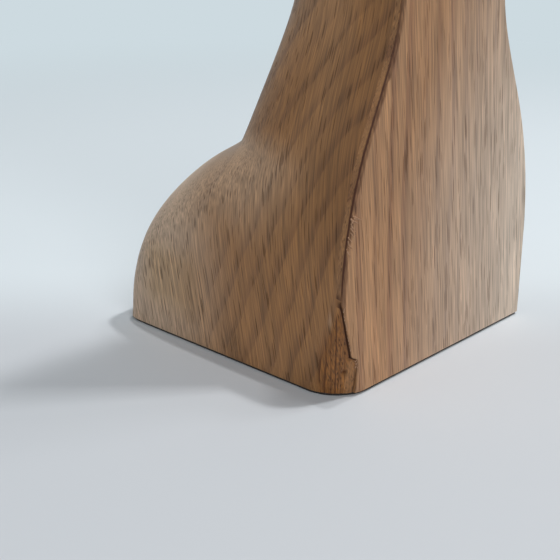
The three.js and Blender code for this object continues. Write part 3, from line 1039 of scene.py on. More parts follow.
# %% [markdown]
# The sole board. It was planed flat, glued on and then trimmed with the block, so its outline
# follows the front template. A grid block with many points is moved onto that outline by a second
# tree. Its left edge steps in where the corner has broken off, and the edge of that step is a
# little jagged, because wood breaks between its fibres.

# %% A tree that lays the board on its templates
BOARD_INPUTS = {"Columns": "Int", "Layers": "Int", "Templates": "Int", "Sole Place": "Float",
                "Thickness": "Float", "Face Crowding": "Float", "Material": "Material"}


def board_tree():
    """Stretch a block of grid between the left and right edges of the templates."""
    tree, given = start_tree("Lay the board", BOARD_INPUTS)
    block = add(tree, "GeometryNodeMeshCube",
                {"Size": (1, 1, 1), "Vertices X": given["Columns"], "Vertices Y": given["Layers"],
                 "Vertices Z": given["Templates"]}).outputs["Mesh"]
    old = add(tree, "GeometryNodeInputPosition")
    spot = add(tree, SPLIT_XYZ, {"Vector": old}).outputs
    level, _ = template_level(tree, spot["Z"], given["Templates"])
    measures = template_measures(tree, given["Geometry"], level, ("height", "left", "right"))
    place_x = add(tree, MAP_RANGE, {"Value": spot["X"], "From Min": -0.5, "From Max": 0.5,
                                    "To Min": measures["left"], "To Max": measures["right"]},
                  interpolation_type="SMOOTHSTEP")
    behind = add(tree, MATH, (spot["Y"], 0.5), operation="ADD", use_clamp=True)
    crowded = add(tree, MATH, (behind, given["Face Crowding"]), operation="POWER")
    place_y = add(tree, MATH, (crowded, given["Thickness"], given["Sole Place"]),
                  operation="MULTIPLY_ADD")
    new = add(tree, JOIN_XYZ, {"X": place_x, "Y": place_y, "Z": measures["height"]})
    moved = add(tree, "GeometryNodeSetPosition", {"Geometry": block, "Position": new})
    smooth = add(tree, "GeometryNodeSetShadeSmooth", {"Geometry": moved, "Shade Smooth": True})
    return end_tree(tree, smooth, given["Material"])


print("the board's tree takes", len(BOARD_INPUTS), "inputs")

# %% [markdown]
# The left edge of the board is the front template less what has broken off. The break is jagged by
# a sixth of a millimetre on the stump, and far less above it, where the board split cleanly.

# %% Laying the board
BOARD_COLUMNS = 90
BOARD_LAYERS = 7
FACE_CROWDING = 1.6
JAG = 0.16 * MM
JAG_LENGTH = 0.7 * MM
LEAST_JAG = 0.12
jag_end = STUMP_TOP + 0.4 * MM
jag_share = np.maximum(ramp(heights, jag_end, jag_end - 3 * MM), LEAST_JAG) * (heights < BREAK_HEIGHT)
jag = JAG * jag_share * np.array([noise.noise((0, 0, z / JAG_LENGTH)) for z in heights])
board_measures = {"height": heights, "left": break_width(heights) + jag - half_width(heights),
                  "right": half_width(heights)}
board_values = {"Columns": BOARD_COLUMNS, "Layers": BOARD_LAYERS, "Templates": len(heights),
                "Sole Place": SOLE, "Thickness": BOARD_THICK, "Face Crowding": FACE_CROWDING,
                "Material": oiled_board}
board = grow("sole_board", template_mesh("board_templates", heights, board_measures), board_tree(),
             board_values)

# %% [markdown]
# Use has eased the front arrises of the board, and most of all the kicked one. That arris gets a dark
# ragged line and a darker band beside it, painted shade of its eased groove mixed with dirt, widest
# near the knock and fading upwards. The sawn edge of the board is browner than its face, and painted
# dark as shade where it stands in the crack. The face is painted paler towards its right side, a
# painted sheen.

# %% Wear of the arrises
ARRIS_RADIUS = 0.35 * MM
EASED_WIDTH = 1.15 * MM
EASED_DEPTH = 0.22 * MM
FACE_REACH = 0.6 * MM
FOOT_WEAR_RADIUS = 7.4 * MM
FOOT_WEAR_HEIGHT = 9 * MM
KICKED_HEIGHTS = (17 * MM, 21 * MM)
RAGGED_NOISE = (0.6 * MM, 2.2 * MM)


def ease_arrises(points):
    """How deep the points lie once the foot and both front arrises are worn round."""
    height = points[:, 2]
    half = half_width(height)
    deep = points[:, 1] - SOLE
    foot_radius = FOOT_WEAR_RADIUS * np.maximum(1 - height / FOOT_WEAR_HEIGHT, 0)
    worn = arc_depth(points[:, 0] + half, foot_radius)
    deep = np.minimum(worn + deep * (1 - worn / BOARD_THICK), BOARD_THICK)
    for inward in (points[:, 0] + half - break_width(height), half - points[:, 0]):
        eased = arc_depth(inward, ARRIS_RADIUS) * (1 - deep / BOARD_THICK)
        deep = np.maximum(deep, np.where(inward < ARRIS_RADIUS, eased, 0))
    return deep


def kicked_arris(points, deep):
    """The distance in from the kicked arris, how far it is eased, and how ragged the wear is."""
    height = points[:, 2]
    edge = np.maximum(points[:, 0] + half_width(height) - break_width(height), 0)
    ragged = 1 + 0.45 * grain_noise(points, *RAGGED_NOISE, 8)
    eased = np.clip(1 - edge / (EASED_WIDTH * ragged), 0, 1) * ramp(deep, FACE_REACH, 0)
    return edge, eased, ragged


print("the kicked arris is eased over", round(EASED_WIDTH / MM, 2), "mm")

# %% [markdown]
# The same distances from the arris place the dirt and the painted shade, so they always follow the
# worn shape. A line sits right on the arris, a paler band of dirt and painted shade lies beside it,
# and both fade upwards. The shares below say how dark the sawn edge is painted as shade at each
# height of the break.

# %% Wear, dirt, painted sheen and painted shade of the board
ARRIS_LINE_WIDTH = 0.27 * MM
ARRIS_LINE_SHARP = 1.6
FACE_SKIN = 0.1 * MM
RUBBED_SKIN = 0.4 * MM
ARRIS_BAND_NOISE = (0.5 * MM, 3 * MM)
PALE_NOISE = (9 * MM, 30 * MM)
PALE_SIDE = (0.2, 0.9)
SAWN_REACH = 0.2 * MM
FADE_HEIGHTS = np.array([0, 55, 90]) * MM
FADE_SHARES = [1, 1, 0.35]
# How dark the sawn edge is painted, as shade in the crack, at each height
CRACK_SHARES = [0.35, 0.6, 0.92, 0.92, 0.7, 0.1]
crack_heights = [*BREAK_HEIGHTS[1:], BREAK_HEIGHT + 1.5 * MM]


def wear_board(piece):
    """Ease the front arrises of the board, and paint its sheen, its bare edge, its dirty places and its
    shade.
    """
    points = points_of(piece)
    height = points[:, 2]
    inward = points[:, 0] + half_width(height)
    deep = ease_arrises(points)
    points[:, 1] = SOLE + deep
    # Painted sheen: the board face is painted paler towards its right side
    rubbed_and_sheen = ramp(inward / (2 * HALF_HEEL), *PALE_SIDE)
    paint(piece, "rubbed_and_sheen", rubbed_and_sheen + 0.05 * grain_noise(points, *PALE_NOISE, 7))

    # The kicked arris above the break, with dirt and painted shade on both sides of a dark line
    edge, eased, ragged = kicked_arris(points, deep)
    kicked = ramp(height, *KICKED_HEIGHTS)
    fading = kicked * np.interp(height, FADE_HEIGHTS, FADE_SHARES)
    points[:, 1] += EASED_DEPTH * eased ** 2 * kicked
    points[:, 0] += 0.5 * EASED_DEPTH * eased ** 3 * kicked
    from_arris = np.hypot(edge, np.maximum(deep - FACE_SKIN, 0))
    line = np.clip(ARRIS_LINE_SHARP - from_arris / (ARRIS_LINE_WIDTH * ragged), 0, 1)
    arris_band = np.clip(3 - 3 * edge / (EASED_WIDTH * ragged), 0, 1) * (deep < RUBBED_SKIN)
    arris_band *= np.clip(0.62 + 0.5 * grain_noise(points, *ARRIS_BAND_NOISE, 10), 0, 0.85)
    set_points(piece, points)

    # The sawn edge of the board matches the block: darker and browner than its face, and painted
    # near-black as shade in the crack
    on_edge = ramp(edge, SAWN_REACH, 0) * ramp(deep, 0, RUBBED_SKIN)
    crack_shade = np.interp(height, crack_heights, CRACK_SHARES)
    paint(piece, "bare", 0.4 * on_edge)
    paint(piece, "grime_and_shade", np.maximum.reduce([line * fading, arris_band * fading, crack_shade * on_edge]))
    print(piece.name, "has its kicked arris eased at", int((eased * kicked > 0.1).sum()), "points")


wear_board(board)
lay_grain(board, points_of(board), np.array([BOARD_FIBRES]))

# %% [markdown]
# The grip strip is moulded rubber, 14 mm wide with round ends. Cross ribs stand out of the sole and
# bite on the floor, and plain lands are left round the four pins. Its front follows a rule that
# repeats, so a tree gives each point of a fine grid block its place: the round-ended outline from
# one formula, and the ribs from the distance to the nearest rib. The mould has softened every edge.

# %% Sizes of the strip and its pins
STRIP_HALF = strip_high.x
STRIP_EDGE = 0.3 * MM
STRIP_COLUMNS = 41
STRIP_LAYERS = 5
STRIP_ROWS = 481
RIB_HEIGHT = SOLE - strip_low.y
RIB_PITCH = 3 * MM
RIB_BASE = 1.5 * MM
RIB_TIP = 1 * MM
LAND_LENGTH = 8 * MM
STRIP_FIT = 0.3 * MM
PIN_COUNT = 4
PIN_END = 7 * MM
PIN_LENGTH = 6.5 * MM
PIN_SHANK = 1.8 * MM
PIN_HEAD = 4.4 * MM
PIN_RIM = 0.25 * MM
PIN_CONE = 1.2 * MM
PIN_POINT = 1.6 * MM
PIN_SINK = 0.2 * MM
PIN_CLEARANCE = 0.3 * MM
strip_length = strip_high.z - strip_low.z
strip_middle = (strip_low.z + strip_high.z) / 2
pin_pitch = (strip_length - 2 * PIN_END) / (PIN_COUNT - 1)
first_pin = strip_low.z + PIN_END
pin_heights = [first_pin + i * pin_pitch for i in range(PIN_COUNT)]
print("strip", round(strip_length / MM, 1), "mm long, pins", round(pin_pitch / MM, 2), "mm apart")

# %% [markdown]
# Rubber of two kinds: the strip was moulded, and the pad was cut from sheet. Both are matt and
# nearly black, with a fine grain, and dust from the floor lies wherever nothing rubs it off. Dust
# is paler and rougher than rubber, so one film drives both. The strip carries the low places
# between its ribs as a painted attribute, which the pad doesn't have, so the pad only gets clouds.


# %% Moulded rubber
def moulded_rubber(name, colour, dusty, speck):
    """Matt black rubber: a faint grain from the mould, and floor dust where nothing rubs it off."""
    material, tree = start_material(name)
    place = add(tree, "ShaderNodeTexCoord").outputs["Object"]
    grain = add(tree, NOISE, {"Vector": place, "Scale": 1 / (speck * MM), "Detail": 3.0})
    cloud = add(tree, NOISE, {"Vector": place, "Scale": 1 / (5 * MM), "Detail": 3.0})
    dust = add(tree, ATTRIBUTE, attribute_name="dust").outputs["Fac"]
    patchy = add(tree, MAP_RANGE, {"Value": cloud, "From Min": 0.35, "From Max": 0.7,
                                   "To Min": 0.12, "To Max": 0.5})
    settled = add(tree, MATH, (patchy, dust), operation="MULTIPLY")
    film = add(tree, MATH, (cloud, 0.12, settled), operation="MULTIPLY_ADD")
    shade = add(tree, MIX, {"Factor": film, "A": linear(colour), "B": linear(dusty)}, data_type="RGBA")
    bump = add(tree, "ShaderNodeBump", {"Strength": 0.5, "Distance": 0.04 * MM, "Height": grain})
    dull = add(tree, MAP_RANGE, {"Value": film, "To Min": 0.52, "To Max": 0.95})
    shader = add(tree, "ShaderNodeBsdfPrincipled",
                 {"Base Color": shade, "Roughness": dull, "IOR": 1.5, "Normal": bump})
    add(tree, "ShaderNodeOutputMaterial", {"Surface": shader})
    return material


strip_rubber = moulded_rubber("Moulded ribbed rubber", "#232323", "#8d867c", 0.25)
pad_rubber = moulded_rubber("Cut sheet rubber", "#272422", "#7d766c", 0.4)
print("rubber materials:", strip_rubber.name, "and", pad_rubber.name)

# %% [markdown]
# The strip's tree works out from the middle, because both halves are alike. The half width shrinks
# as a circle over the round ends. A rib stands at each pitch, but not beside a pin and not over an
# end. Its flanks are soft, and its feet run out into the strip.

# %% Outline of the strip
ROUNDING = 1e-9


def strip_outline(tree, given, from_middle):
    """Half the width of the strip at a distance from its middle."""
    off = add(tree, MATH, (from_middle,), operation="ABSOLUTE")
    half_length = add(tree, MATH, (given["Length"], 0.5), operation="MULTIPLY")
    straight = add(tree, MATH, (half_length, given["Half Width"]), operation="SUBTRACT")
    past = add(tree, MATH, (off, straight), operation="SUBTRACT")
    beyond = add(tree, MATH, (past, 0.0), operation="MAXIMUM")
    squares = [add(tree, MATH, (side, side), operation="MULTIPLY")
               for side in (given["Half Width"], beyond)]
    inside = add(tree, MATH, squares, operation="SUBTRACT")
    sure = add(tree, MATH, (inside, ROUNDING), operation="SUBTRACT")
    positive = add(tree, MATH, (sure, 0.0), operation="MAXIMUM")
    return add(tree, MATH, (positive,), operation="SQRT")


print("the round ends shrink over", round(STRIP_HALF / MM, 1), "mm")


# %% Ribs of the strip
END_CLEARANCE = 0.9
LAND_HALF = 0.501
TIP_SHARE = 0.4


def nearest(tree, place, first, pitch):
    """The place of the nearest in a row that starts at one place and goes on at even steps."""
    run = add(tree, MATH, (place, first), operation="SUBTRACT")
    steps = add(tree, MATH, (run, pitch), operation="DIVIDE")
    count = add(tree, MATH, (steps,), operation="ROUND")
    return add(tree, MATH, (count, pitch, first), operation="MULTIPLY_ADD")


def distance(tree, one, other):
    """How far two places are apart."""
    apart = add(tree, MATH, (one, other), operation="SUBTRACT")
    return add(tree, MATH, (apart,), operation="ABSOLUTE")


def strip_ribs(tree, given, from_middle):
    """1 on the tip of a rib and 0 between the ribs."""
    rib = nearest(tree, from_middle, 0.0, given["Rib Pitch"])
    pin = nearest(tree, rib, given["First Pin"], given["Pin Pitch"])
    land = add(tree, MATH, (given["Land"], LAND_HALF), operation="MULTIPLY")
    clear = add(tree, MATH, (distance(tree, rib, pin), land), operation="GREATER_THAN")
    half_length = add(tree, MATH, (given["Length"], 0.5), operation="MULTIPLY")
    room = add(tree, MATH, (half_length, distance(tree, rib, 0.0)), operation="SUBTRACT")
    needed = add(tree, MATH, (given["Rib Pitch"], END_CLEARANCE), operation="MULTIPLY")
    within = add(tree, MATH, (room, needed), operation="GREATER_THAN")
    foot = add(tree, MATH, (given["Rib Base"], 0.5), operation="MULTIPLY")
    tip = add(tree, MATH, (given["Rib Tip"], TIP_SHARE), operation="MULTIPLY")
    flank = add(tree, MAP_RANGE,
                {"Value": distance(tree, from_middle, rib), "From Min": foot, "From Max": tip},
                interpolation_type="SMOOTHSTEP")
    allowed = add(tree, MATH, (clear, within), operation="MULTIPLY")
    return add(tree, MATH, (flank, allowed), operation="MULTIPLY")


print("ribs are", round(RIB_BASE / MM, 1), "mm wide at the base,", round(RIB_PITCH / MM, 1), "mm apart")

# %% [markdown]
# The tree puts outline and ribs together on a block of grid, whose columns are crowded towards the
# sides by a sine. It has five layers, and the ribs fade out from the front one to the flat back.

# %% A tree that moulds the strip
STRIP_INPUTS = {"Columns": "Int", "Layers": "Int", "Rows": "Int", "Middle": "Float",
                "Length": "Float", "Half Width": "Float", "Sole Place": "Float",
                "Thickness": "Float", "Rib Height": "Float", "Rib Pitch": "Float",
                "Rib Base": "Float", "Rib Tip": "Float", "Land": "Float",
                "First Pin": "Float", "Pin Pitch": "Float", "Edge Radius": "Float",
                "Material": "Material"}


def strip_tree():
    """Place a grid block on the round-ended outline and raise the ribs from its front."""
    tree, given = start_tree("Mould the strip", STRIP_INPUTS)
    block = add(tree, "GeometryNodeMeshCube",
                {"Size": (1, 1, 1), "Vertices X": given["Columns"], "Vertices Y": given["Layers"],
                 "Vertices Z": given["Rows"]}).outputs["Mesh"]
    old = add(tree, "GeometryNodeInputPosition")
    spot = add(tree, SPLIT_XYZ, {"Vector": old}).outputs
    from_middle = add(tree, MATH, (spot["Z"], given["Length"]), operation="MULTIPLY")
    height = add(tree, MATH, (from_middle, given["Middle"]), operation="ADD")
    half = strip_outline(tree, given, from_middle)
    turn = add(tree, MATH, (spot["X"], math.pi), operation="MULTIPLY")
    side = add(tree, MATH, (turn,), operation="SINE")
    place_x = add(tree, MATH, (side, half), operation="MULTIPLY")
    raised = strip_ribs(tree, given, from_middle)

    # The front falls away round its edge on an arc, and the ribs stand out of it
    edge = add(tree, MATH, (half, distance(tree, place_x, 0.0)), operation="SUBTRACT")
    near = add(tree, MATH, (edge, given["Edge Radius"]), operation="DIVIDE", use_clamp=True)
    other = add(tree, MATH, (2.0, near), operation="SUBTRACT")
    square = add(tree, MATH, (near, other), operation="MULTIPLY")
    arc = add(tree, MATH, (square,), operation="SQRT")
    gone = add(tree, MATH, (1.0, arc), operation="SUBTRACT")
    fallen = add(tree, MATH, (gone, given["Edge Radius"]), operation="MULTIPLY")
    rise = add(tree, MATH, (raised, given["Rib Height"]), operation="MULTIPLY")
    front = add(tree, MATH, (fallen, rise), operation="SUBTRACT")
    behind = add(tree, MATH, (spot["Y"], 0.5), operation="ADD")
    deep = add(tree, MIX, {"Factor": behind, "A": front, "B": given["Thickness"]}, data_type="FLOAT")
    place_y = add(tree, MATH, (deep, given["Sole Place"]), operation="ADD")
    new = add(tree, JOIN_XYZ, {"X": place_x, "Y": place_y, "Z": height})

    # Dust lies in the low places, and the points that meet at the round ends become one
    low = add(tree, MATH, (1.0, raised), operation="SUBTRACT")
    dusted = add(tree, "GeometryNodeStoreNamedAttribute",
                 {"Geometry": block, "Name": "dust", "Value": low}, data_type="FLOAT", domain="POINT")
    moved = add(tree, "GeometryNodeSetPosition", {"Geometry": dusted, "Position": new})
    closed = add(tree, "GeometryNodeMergeByDistance", {"Geometry": moved, "Distance": 0.001 * MM})
    smooth = add(tree, "GeometryNodeSetShadeSmooth", {"Geometry": closed, "Shade Smooth": True})
    return end_tree(tree, smooth, given["Material"])


strip_values = {"Columns": STRIP_COLUMNS, "Layers": STRIP_LAYERS, "Rows": STRIP_ROWS,
                "Middle": strip_middle, "Length": strip_length, "Half Width": STRIP_HALF,
                "Sole Place": SOLE, "Thickness": BOARD_THICK,
                "Rib Height": RIB_HEIGHT, "Rib Pitch": RIB_PITCH, "Rib Base": RIB_BASE,
                "Rib Tip": RIB_TIP, "Land": LAND_LENGTH, "First Pin": first_pin - strip_middle,
                "Pin Pitch": pin_pitch, "Edge Radius": STRIP_EDGE, "Material": strip_rubber}
strip = grow("ribbed_strip", bpy.data.meshes.new("strip_seed"), strip_tree(), strip_values)

# %% [markdown]
# The pins are turned from brass, with countersunk heads that sit a little below the rubber. One pin
# is made as a lathe would make it, from a profile spun round its axis. The same profile, a little
# larger, gives the holes. Each point also keeps its distance from the axis, for the turning marks.


# %% Turning a pin or a hole
def pin_profile(grow_by, above):
    """Distances from the axis and depths below the head, from the middle of the head to the point."""
    head = PIN_HEAD / 2 + grow_by
    shank = PIN_SHANK / 2 + grow_by
    end = PIN_LENGTH + grow_by
    soft = 0.06 * MM
    return [(0, -above), (head * 0.35, -above), (head * 0.7, -above), (head - soft, -above),
            (head, soft - above), (head, PIN_RIM), (shank, PIN_RIM + PIN_CONE),
            (shank, end - PIN_POINT), (0, end)]


def turned(name, profile, place, sides):
    """Spin a profile round an axis along +Y and close it at both ends."""
    mesh = bpy.data.meshes.new(name)
    bm = bmesh.new()
    layer = bm.verts.layers.float.new("radius")
    points = [bm.verts.new(Vector((out, deep, 0)) + place) for out, deep in profile]
    for point, (out, _) in zip(points, profile):
        point[layer] = out / MM
    edges = [bm.edges.new(pair) for pair in zip(points, points[1:])]
    bmesh.ops.spin(bm, geom=points + edges, cent=place, axis=(0, 1, 0), angle=math.tau, steps=sides,
                   use_merge=True)
    bmesh.ops.remove_doubles(bm, verts=bm.verts, dist=0.001 * MM)
    bmesh.ops.recalc_face_normals(bm, faces=bm.faces)
    bm.to_mesh(mesh)
    bm.free()
    return mesh


pin_mesh = turned("pin_seed", pin_profile(0, 0), Vector(), 48)
print("one pin has", len(pin_mesh.polygons), "faces")

# %% [markdown]
# Brass off the lathe carries fine rings round its axis, which stretch the highlight into a fan.
# They come from a sine of the distance that the pin's points carry, because a position would need
# the axis of each pin. The rings are drawn about 0.16 mm apart, coarser than real ones, which would
# vanish in the render. Air and hands have dulled the brass in patches, browner and less glossy.

# %% Turned brass
WAVE_ANGLE_PER_MM = 38.0
TARNISH_SIZE = 1.5 * MM


def turned_brass():
    """Brass off the lathe, a little dulled: fine rings round the axis, and tarnish in patches."""
    material, tree = start_material("Turned dulled brass")
    place = add(tree, "ShaderNodeTexCoord").outputs["Object"]
    out = add(tree, ATTRIBUTE, attribute_name="radius").outputs["Fac"]
    angle = add(tree, MATH, (out, WAVE_ANGLE_PER_MM), operation="MULTIPLY")
    wave = add(tree, MATH, (angle,), operation="SINE")
    tarnish = add(tree, NOISE, {"Vector": place, "Scale": 1 / TARNISH_SIZE, "Detail": 4.0})
    patch = add(tree, MAP_RANGE, {"Value": tarnish, "From Min": 0.4, "From Max": 0.7})
    shade = add(tree, MIX, {"Factor": patch, "A": linear("#c9a65e"), "B": linear("#8a6a38")},
                data_type="RGBA")
    dull = add(tree, MAP_RANGE, {"Value": patch, "To Min": 0.28, "To Max": 0.5})
    bump = add(tree, "ShaderNodeBump", {"Strength": 0.3, "Distance": 0.01 * MM, "Height": wave})
    shader = add(tree, "ShaderNodeBsdfPrincipled",
                 {"Base Color": shade, "Metallic": 1.0, "Roughness": dull, "Normal": bump})
    add(tree, "ShaderNodeOutputMaterial", {"Surface": shader})
    return material


brass = turned_brass()
print("made", brass.name, "with a ring every", round(math.tau / WAVE_ANGLE_PER_MM, 3), "mm")

# %% [markdown]
# Four pins stand in a straight row at even steps, so a small tree sets the turned pin at the points
# of a mesh line. The number of pins and the step between them are its inputs.

# %% A tree that sets the pins
PIN_INPUTS = {"Count": "Int", "First": "Vector", "Step": "Vector", "Material": "Material"}


def pin_tree():
    """Set the pin at each place of a straight row."""
    tree, given = start_tree("Set the pins", PIN_INPUTS)
    row = add(tree, "GeometryNodeMeshLine",
              {"Count": given["Count"], "Start Location": given["First"], "Offset": given["Step"]},
              mode="OFFSET")
    pins = add(tree, "GeometryNodeInstanceOnPoints", {"Points": row, "Instance": given["Geometry"]})
    return end_tree(tree, pins, given["Material"])


pin_values = {"Count": PIN_COUNT, "First": (0, SOLE + PIN_SINK, first_pin),
              "Step": (0, 0, pin_pitch), "Material": brass}
pins = grow("brass_pins", pin_mesh, pin_tree(), pin_values)

# %% [markdown]
# At the bench the window is cut out of the board and the holes are drilled through the strip. Here
# a boolean modifier does the same with closed cutters, and its result replaces the mesh. Modelling
# the openings into the grids would need rows that follow their outlines.


# %% Cutting a piece
def cut(piece, mesh):
    """Take a closed mesh away from a piece."""
    cutter = bpy.data.objects.new("cutter", mesh)
    scene.collection.objects.link(cutter)
    modifier = piece.modifiers.new("cut", "BOOLEAN")
    modifier.operation = "DIFFERENCE"
    modifier.solver = "MANIFOLD"
    modifier.object = cutter
    result = bpy.data.meshes.new_from_object(piece.evaluated_get(bpy.context.evaluated_depsgraph_get()))
    piece.modifiers.clear()
    piece.data = result
    bpy.data.objects.remove(cutter)
    print(piece.name, "is cut and has", len(piece.data.polygons), "faces")


print("cutters are taken away from", board.name, "and", strip.name)


# %% The window and the holes
def window_mesh(steps):
    """The round-ended window, a little larger than the strip, through the whole board."""
    radius = STRIP_HALF + STRIP_FIT
    outline = []
    for middle, turn in ((strip_high.z - STRIP_HALF, 0), (strip_low.z + STRIP_HALF, math.pi)):
        for i in range(steps + 1):
            angle = turn + math.pi * i / steps
            outline.append((radius * math.cos(angle), middle + radius * math.sin(angle)))
    bm = bmesh.new()
    front = [bm.verts.new((x, SOLE - 1 * MM, z)) for x, z in outline]
    back = [bm.verts.new((x, GLUE + 1 * MM, z)) for x, z in outline]
    bm.faces.new(front)
    bm.faces.new(back)
    for i in range(len(outline)):
        bm.faces.new((front[i - 1], front[i], back[i], back[i - 1]))
    bmesh.ops.recalc_face_normals(bm, faces=bm.faces)
    mesh = bpy.data.meshes.new("window")
    bm.to_mesh(mesh)
    bm.free()
    return mesh


cut(board, window_mesh(48))
for height in pin_heights:
    hole = pin_profile(PIN_CLEARANCE, 2 * MM)
    cut(strip, turned("hole", hole, Vector((0, SOLE + PIN_SINK, height)), 32))

# %% [markdown]
# Torn fibres. Where the arris took its hardest knock a curl of oak stands out of it, with a few
# tufts below, and splinters lean out of the crack. No oil or dirt has reached them, so they are
# paler and more matt than the rest. A real fibre bundle tears off at its lower end and curls up, so
# one tapered sliver is bent here and set at points along the arris. Every sliver has its own
# length, turn and lean, from noise with a fixed seed.


# %% Torn oak
def torn_oak():
    """Freshly torn oak: matt and pale, because no oil or dirt has reached the fibres."""
    material, tree = start_material("Torn oak fibres")
    place = add(tree, "ShaderNodeTexCoord").outputs["Object"]
    speck = add(tree, NOISE, {"Vector": place, "Scale": 1 / (0.3 * MM), "Detail": 2.0})
    shade = add(tree, MIX, {"Factor": speck, "A": linear("#8a6346"), "B": linear("#c9a182")},
                data_type="RGBA")
    shader = add(tree, "ShaderNodeBsdfPrincipled", {"Base Color": shade, "Roughness": 0.9})
    add(tree, "ShaderNodeOutputMaterial", {"Surface": shader})
    return material


torn_fibre = torn_oak()
print("made", torn_fibre.name)

# %% [markdown]
# The tree makes one sliver and copies it to every torn place, as the pins were. The points carry a
# turn and a size, so that no two slivers look alike although they share a mesh.

# %% A tree that sets slivers at torn places
SLIVER_INPUTS = {"Sides": "Int", "Thickness": "Float", "Curl": "Float", "Material": "Material"}


def sliver_tree():
    """Bend a thin cone and set it at each point, turned and stretched as the point says."""
    tree, given = start_tree("Set the slivers", SLIVER_INPUTS)
    cone = add(tree, "GeometryNodeMeshCone",
               {"Vertices": given["Sides"], "Side Segments": 7, "Radius Top": 0.12,
                "Radius Bottom": 1.0, "Depth": 1.0}, fill_type="TRIANGLE_FAN").outputs["Mesh"]
    old = add(tree, "GeometryNodeInputPosition")
    spot = add(tree, SPLIT_XYZ, {"Vector": old}).outputs
    arch = add(tree, MATH, (spot["Z"], spot["Z"]), operation="MULTIPLY")
    thin_x, thin_y = [add(tree, MATH, (spot[axis], given["Thickness"]), operation="MULTIPLY")
                      for axis in ("X", "Y")]
    bent_y = add(tree, MATH, (arch, given["Curl"], thin_y), operation="MULTIPLY_ADD")
    new = add(tree, JOIN_XYZ, {"X": thin_x, "Y": bent_y, "Z": spot["Z"]})
    bent = add(tree, "GeometryNodeSetPosition", {"Geometry": cone, "Position": new})
    turn, size = [add(tree, "GeometryNodeInputNamedAttribute", {"Name": label}, data_type="FLOAT_VECTOR")
                  for label in ("turn", "size")]
    slivers = add(tree, "GeometryNodeInstanceOnPoints",
                  {"Points": given["Geometry"], "Instance": bent, "Rotation": turn, "Scale": size})
    smooth = add(tree, "GeometryNodeSetShadeSmooth", {"Geometry": slivers, "Shade Smooth": True})
    return end_tree(tree, smooth, given["Material"])


print("the slivers' tree takes", len(SLIVER_INPUTS), "inputs")

# %% [markdown]
# The places follow the edge of the board, because that is where fibres were pulled up. The burr is
# a tight group of long slivers, the tufts below it are shorter, those in the crack lean out of it,
# and a few stand on the stump.


# %% Places of the slivers
def torn_places(low, high, count, inward, reach, lean, seed):
    """Points along the arris or the crack, each with a turn and a size from seeded noise."""
    rows = []
    for i in range(count):
        height = low + (high - low) * (i + 0.5) / count
        first, second, third = noise.noise_vector((i * 1.7, seed, 0.5))
        left = break_width(height) - half_width(height)
        place = (float(left) + inward * (0.6 + first), SOLE + 0.05 * MM, height + 0.3 * MM * third)
        turn = (0.5 * first, lean + 0.5 * third, 0.6 * second)
        size = reach * (0.8 + 0.7 * second)
        rows.append((place, turn, (size * 0.8, size * 0.8, size)))
    return rows


# Vector noise starts from the clock unless it is seeded, and then no two runs would be alike
SLIVER_SEED = 7
noise.seed_set(SLIVER_SEED)

# Lowest and highest place, number, distance in, length, lean and seed of each group of slivers
SLIVER_GROUPS = {
    "burr": (33.0 * MM, 34.1 * MM, 9, 0.7 * MM, 1.7 * MM, 2.0, 3),
    "tufts": (28.0 * MM, 33.0 * MM, 14, 0.6 * MM, 1.3 * MM, 2.7, 5),
    "crack": (8.3 * MM, 17.6 * MM, 13, -0.25 * MM, 0.9 * MM, -0.25, 8),
    "stump": (STUMP_TOP - 1.9 * MM, STUMP_TOP - 0.2 * MM, 8, -0.9 * MM, 0.8 * MM, 0.9, 9),
}
sliver_rows = [row for group in SLIVER_GROUPS.values() for row in torn_places(*group)]
print(len(sliver_rows), "slivers in", len(SLIVER_GROUPS), "groups")


# %% Setting the slivers
def places_mesh(rows):
    """A mesh of loose points that carry turns and sizes."""
    mesh = bpy.data.meshes.new("torn_places")
    mesh.from_pydata([place for place, _, _ in rows], [], [])
    for label, column in (("turn", 1), ("size", 2)):
        layer = mesh.attributes.new(label, "FLOAT_VECTOR", "POINT")
        layer.data.foreach_set("vector", np.array([row[column] for row in rows], np.float32).ravel())
    return mesh


sliver_values = {"Sides": 7, "Thickness": 0.13, "Curl": -0.35, "Material": torn_fibre}
slivers = grow("torn_fibres", places_mesh(sliver_rows), sliver_tree(), sliver_values)

# %% [markdown]
# The camera looks down at the kicked corner from close by. Its place and lens were fitted to the
# outline of the heel: a short telephoto keeps the upright edges nearly parallel. Depth of field
# stays off, so that every view of the part is sharp.

# %% Camera
CAMERA_PLACE = Vector((-159.7, -136.9, 87.1)) * MM
CAMERA_HEADING = 43.2
CAMERA_PITCH = 20.6
LENS = 69.5

heading = math.radians(CAMERA_HEADING)
pitch = math.radians(CAMERA_PITCH)
ahead = Vector((math.cos(heading), math.sin(heading), 0))
look = ahead * math.cos(pitch) + Vector((0, 0, -math.sin(pitch)))
camera = bpy.data.objects.new("camera", bpy.data.cameras.new("camera"))
camera.data.lens = LENS
camera.data.sensor_width = 36
camera.data.clip_start = 1 * MM
camera.data.clip_end = 20
camera.location = CAMERA_PLACE
camera.rotation_mode = "QUATERNION"
camera.rotation_quaternion = look.to_track_quat("-Z", "Y")
scene.collection.objects.link(camera)
scene.camera = camera
print("camera", [round(c / MM, 1) for c in CAMERA_PLACE], "mm")

# %% [markdown]
# A plain room for the picture. The floor is pale matt laminate, a little greyer in front of the
# wedge than behind it. Far out it fades into the colour of the backdrop, but only for the camera
# and for reflections, so that it keeps the wedge's shadow and adds no light of its own to the wood.

# %% Floor
BACKDROP = "#cddae0"
FLOOR_REACH = 3.0
NEAR_AND_FAR = (0.16, 0.42)


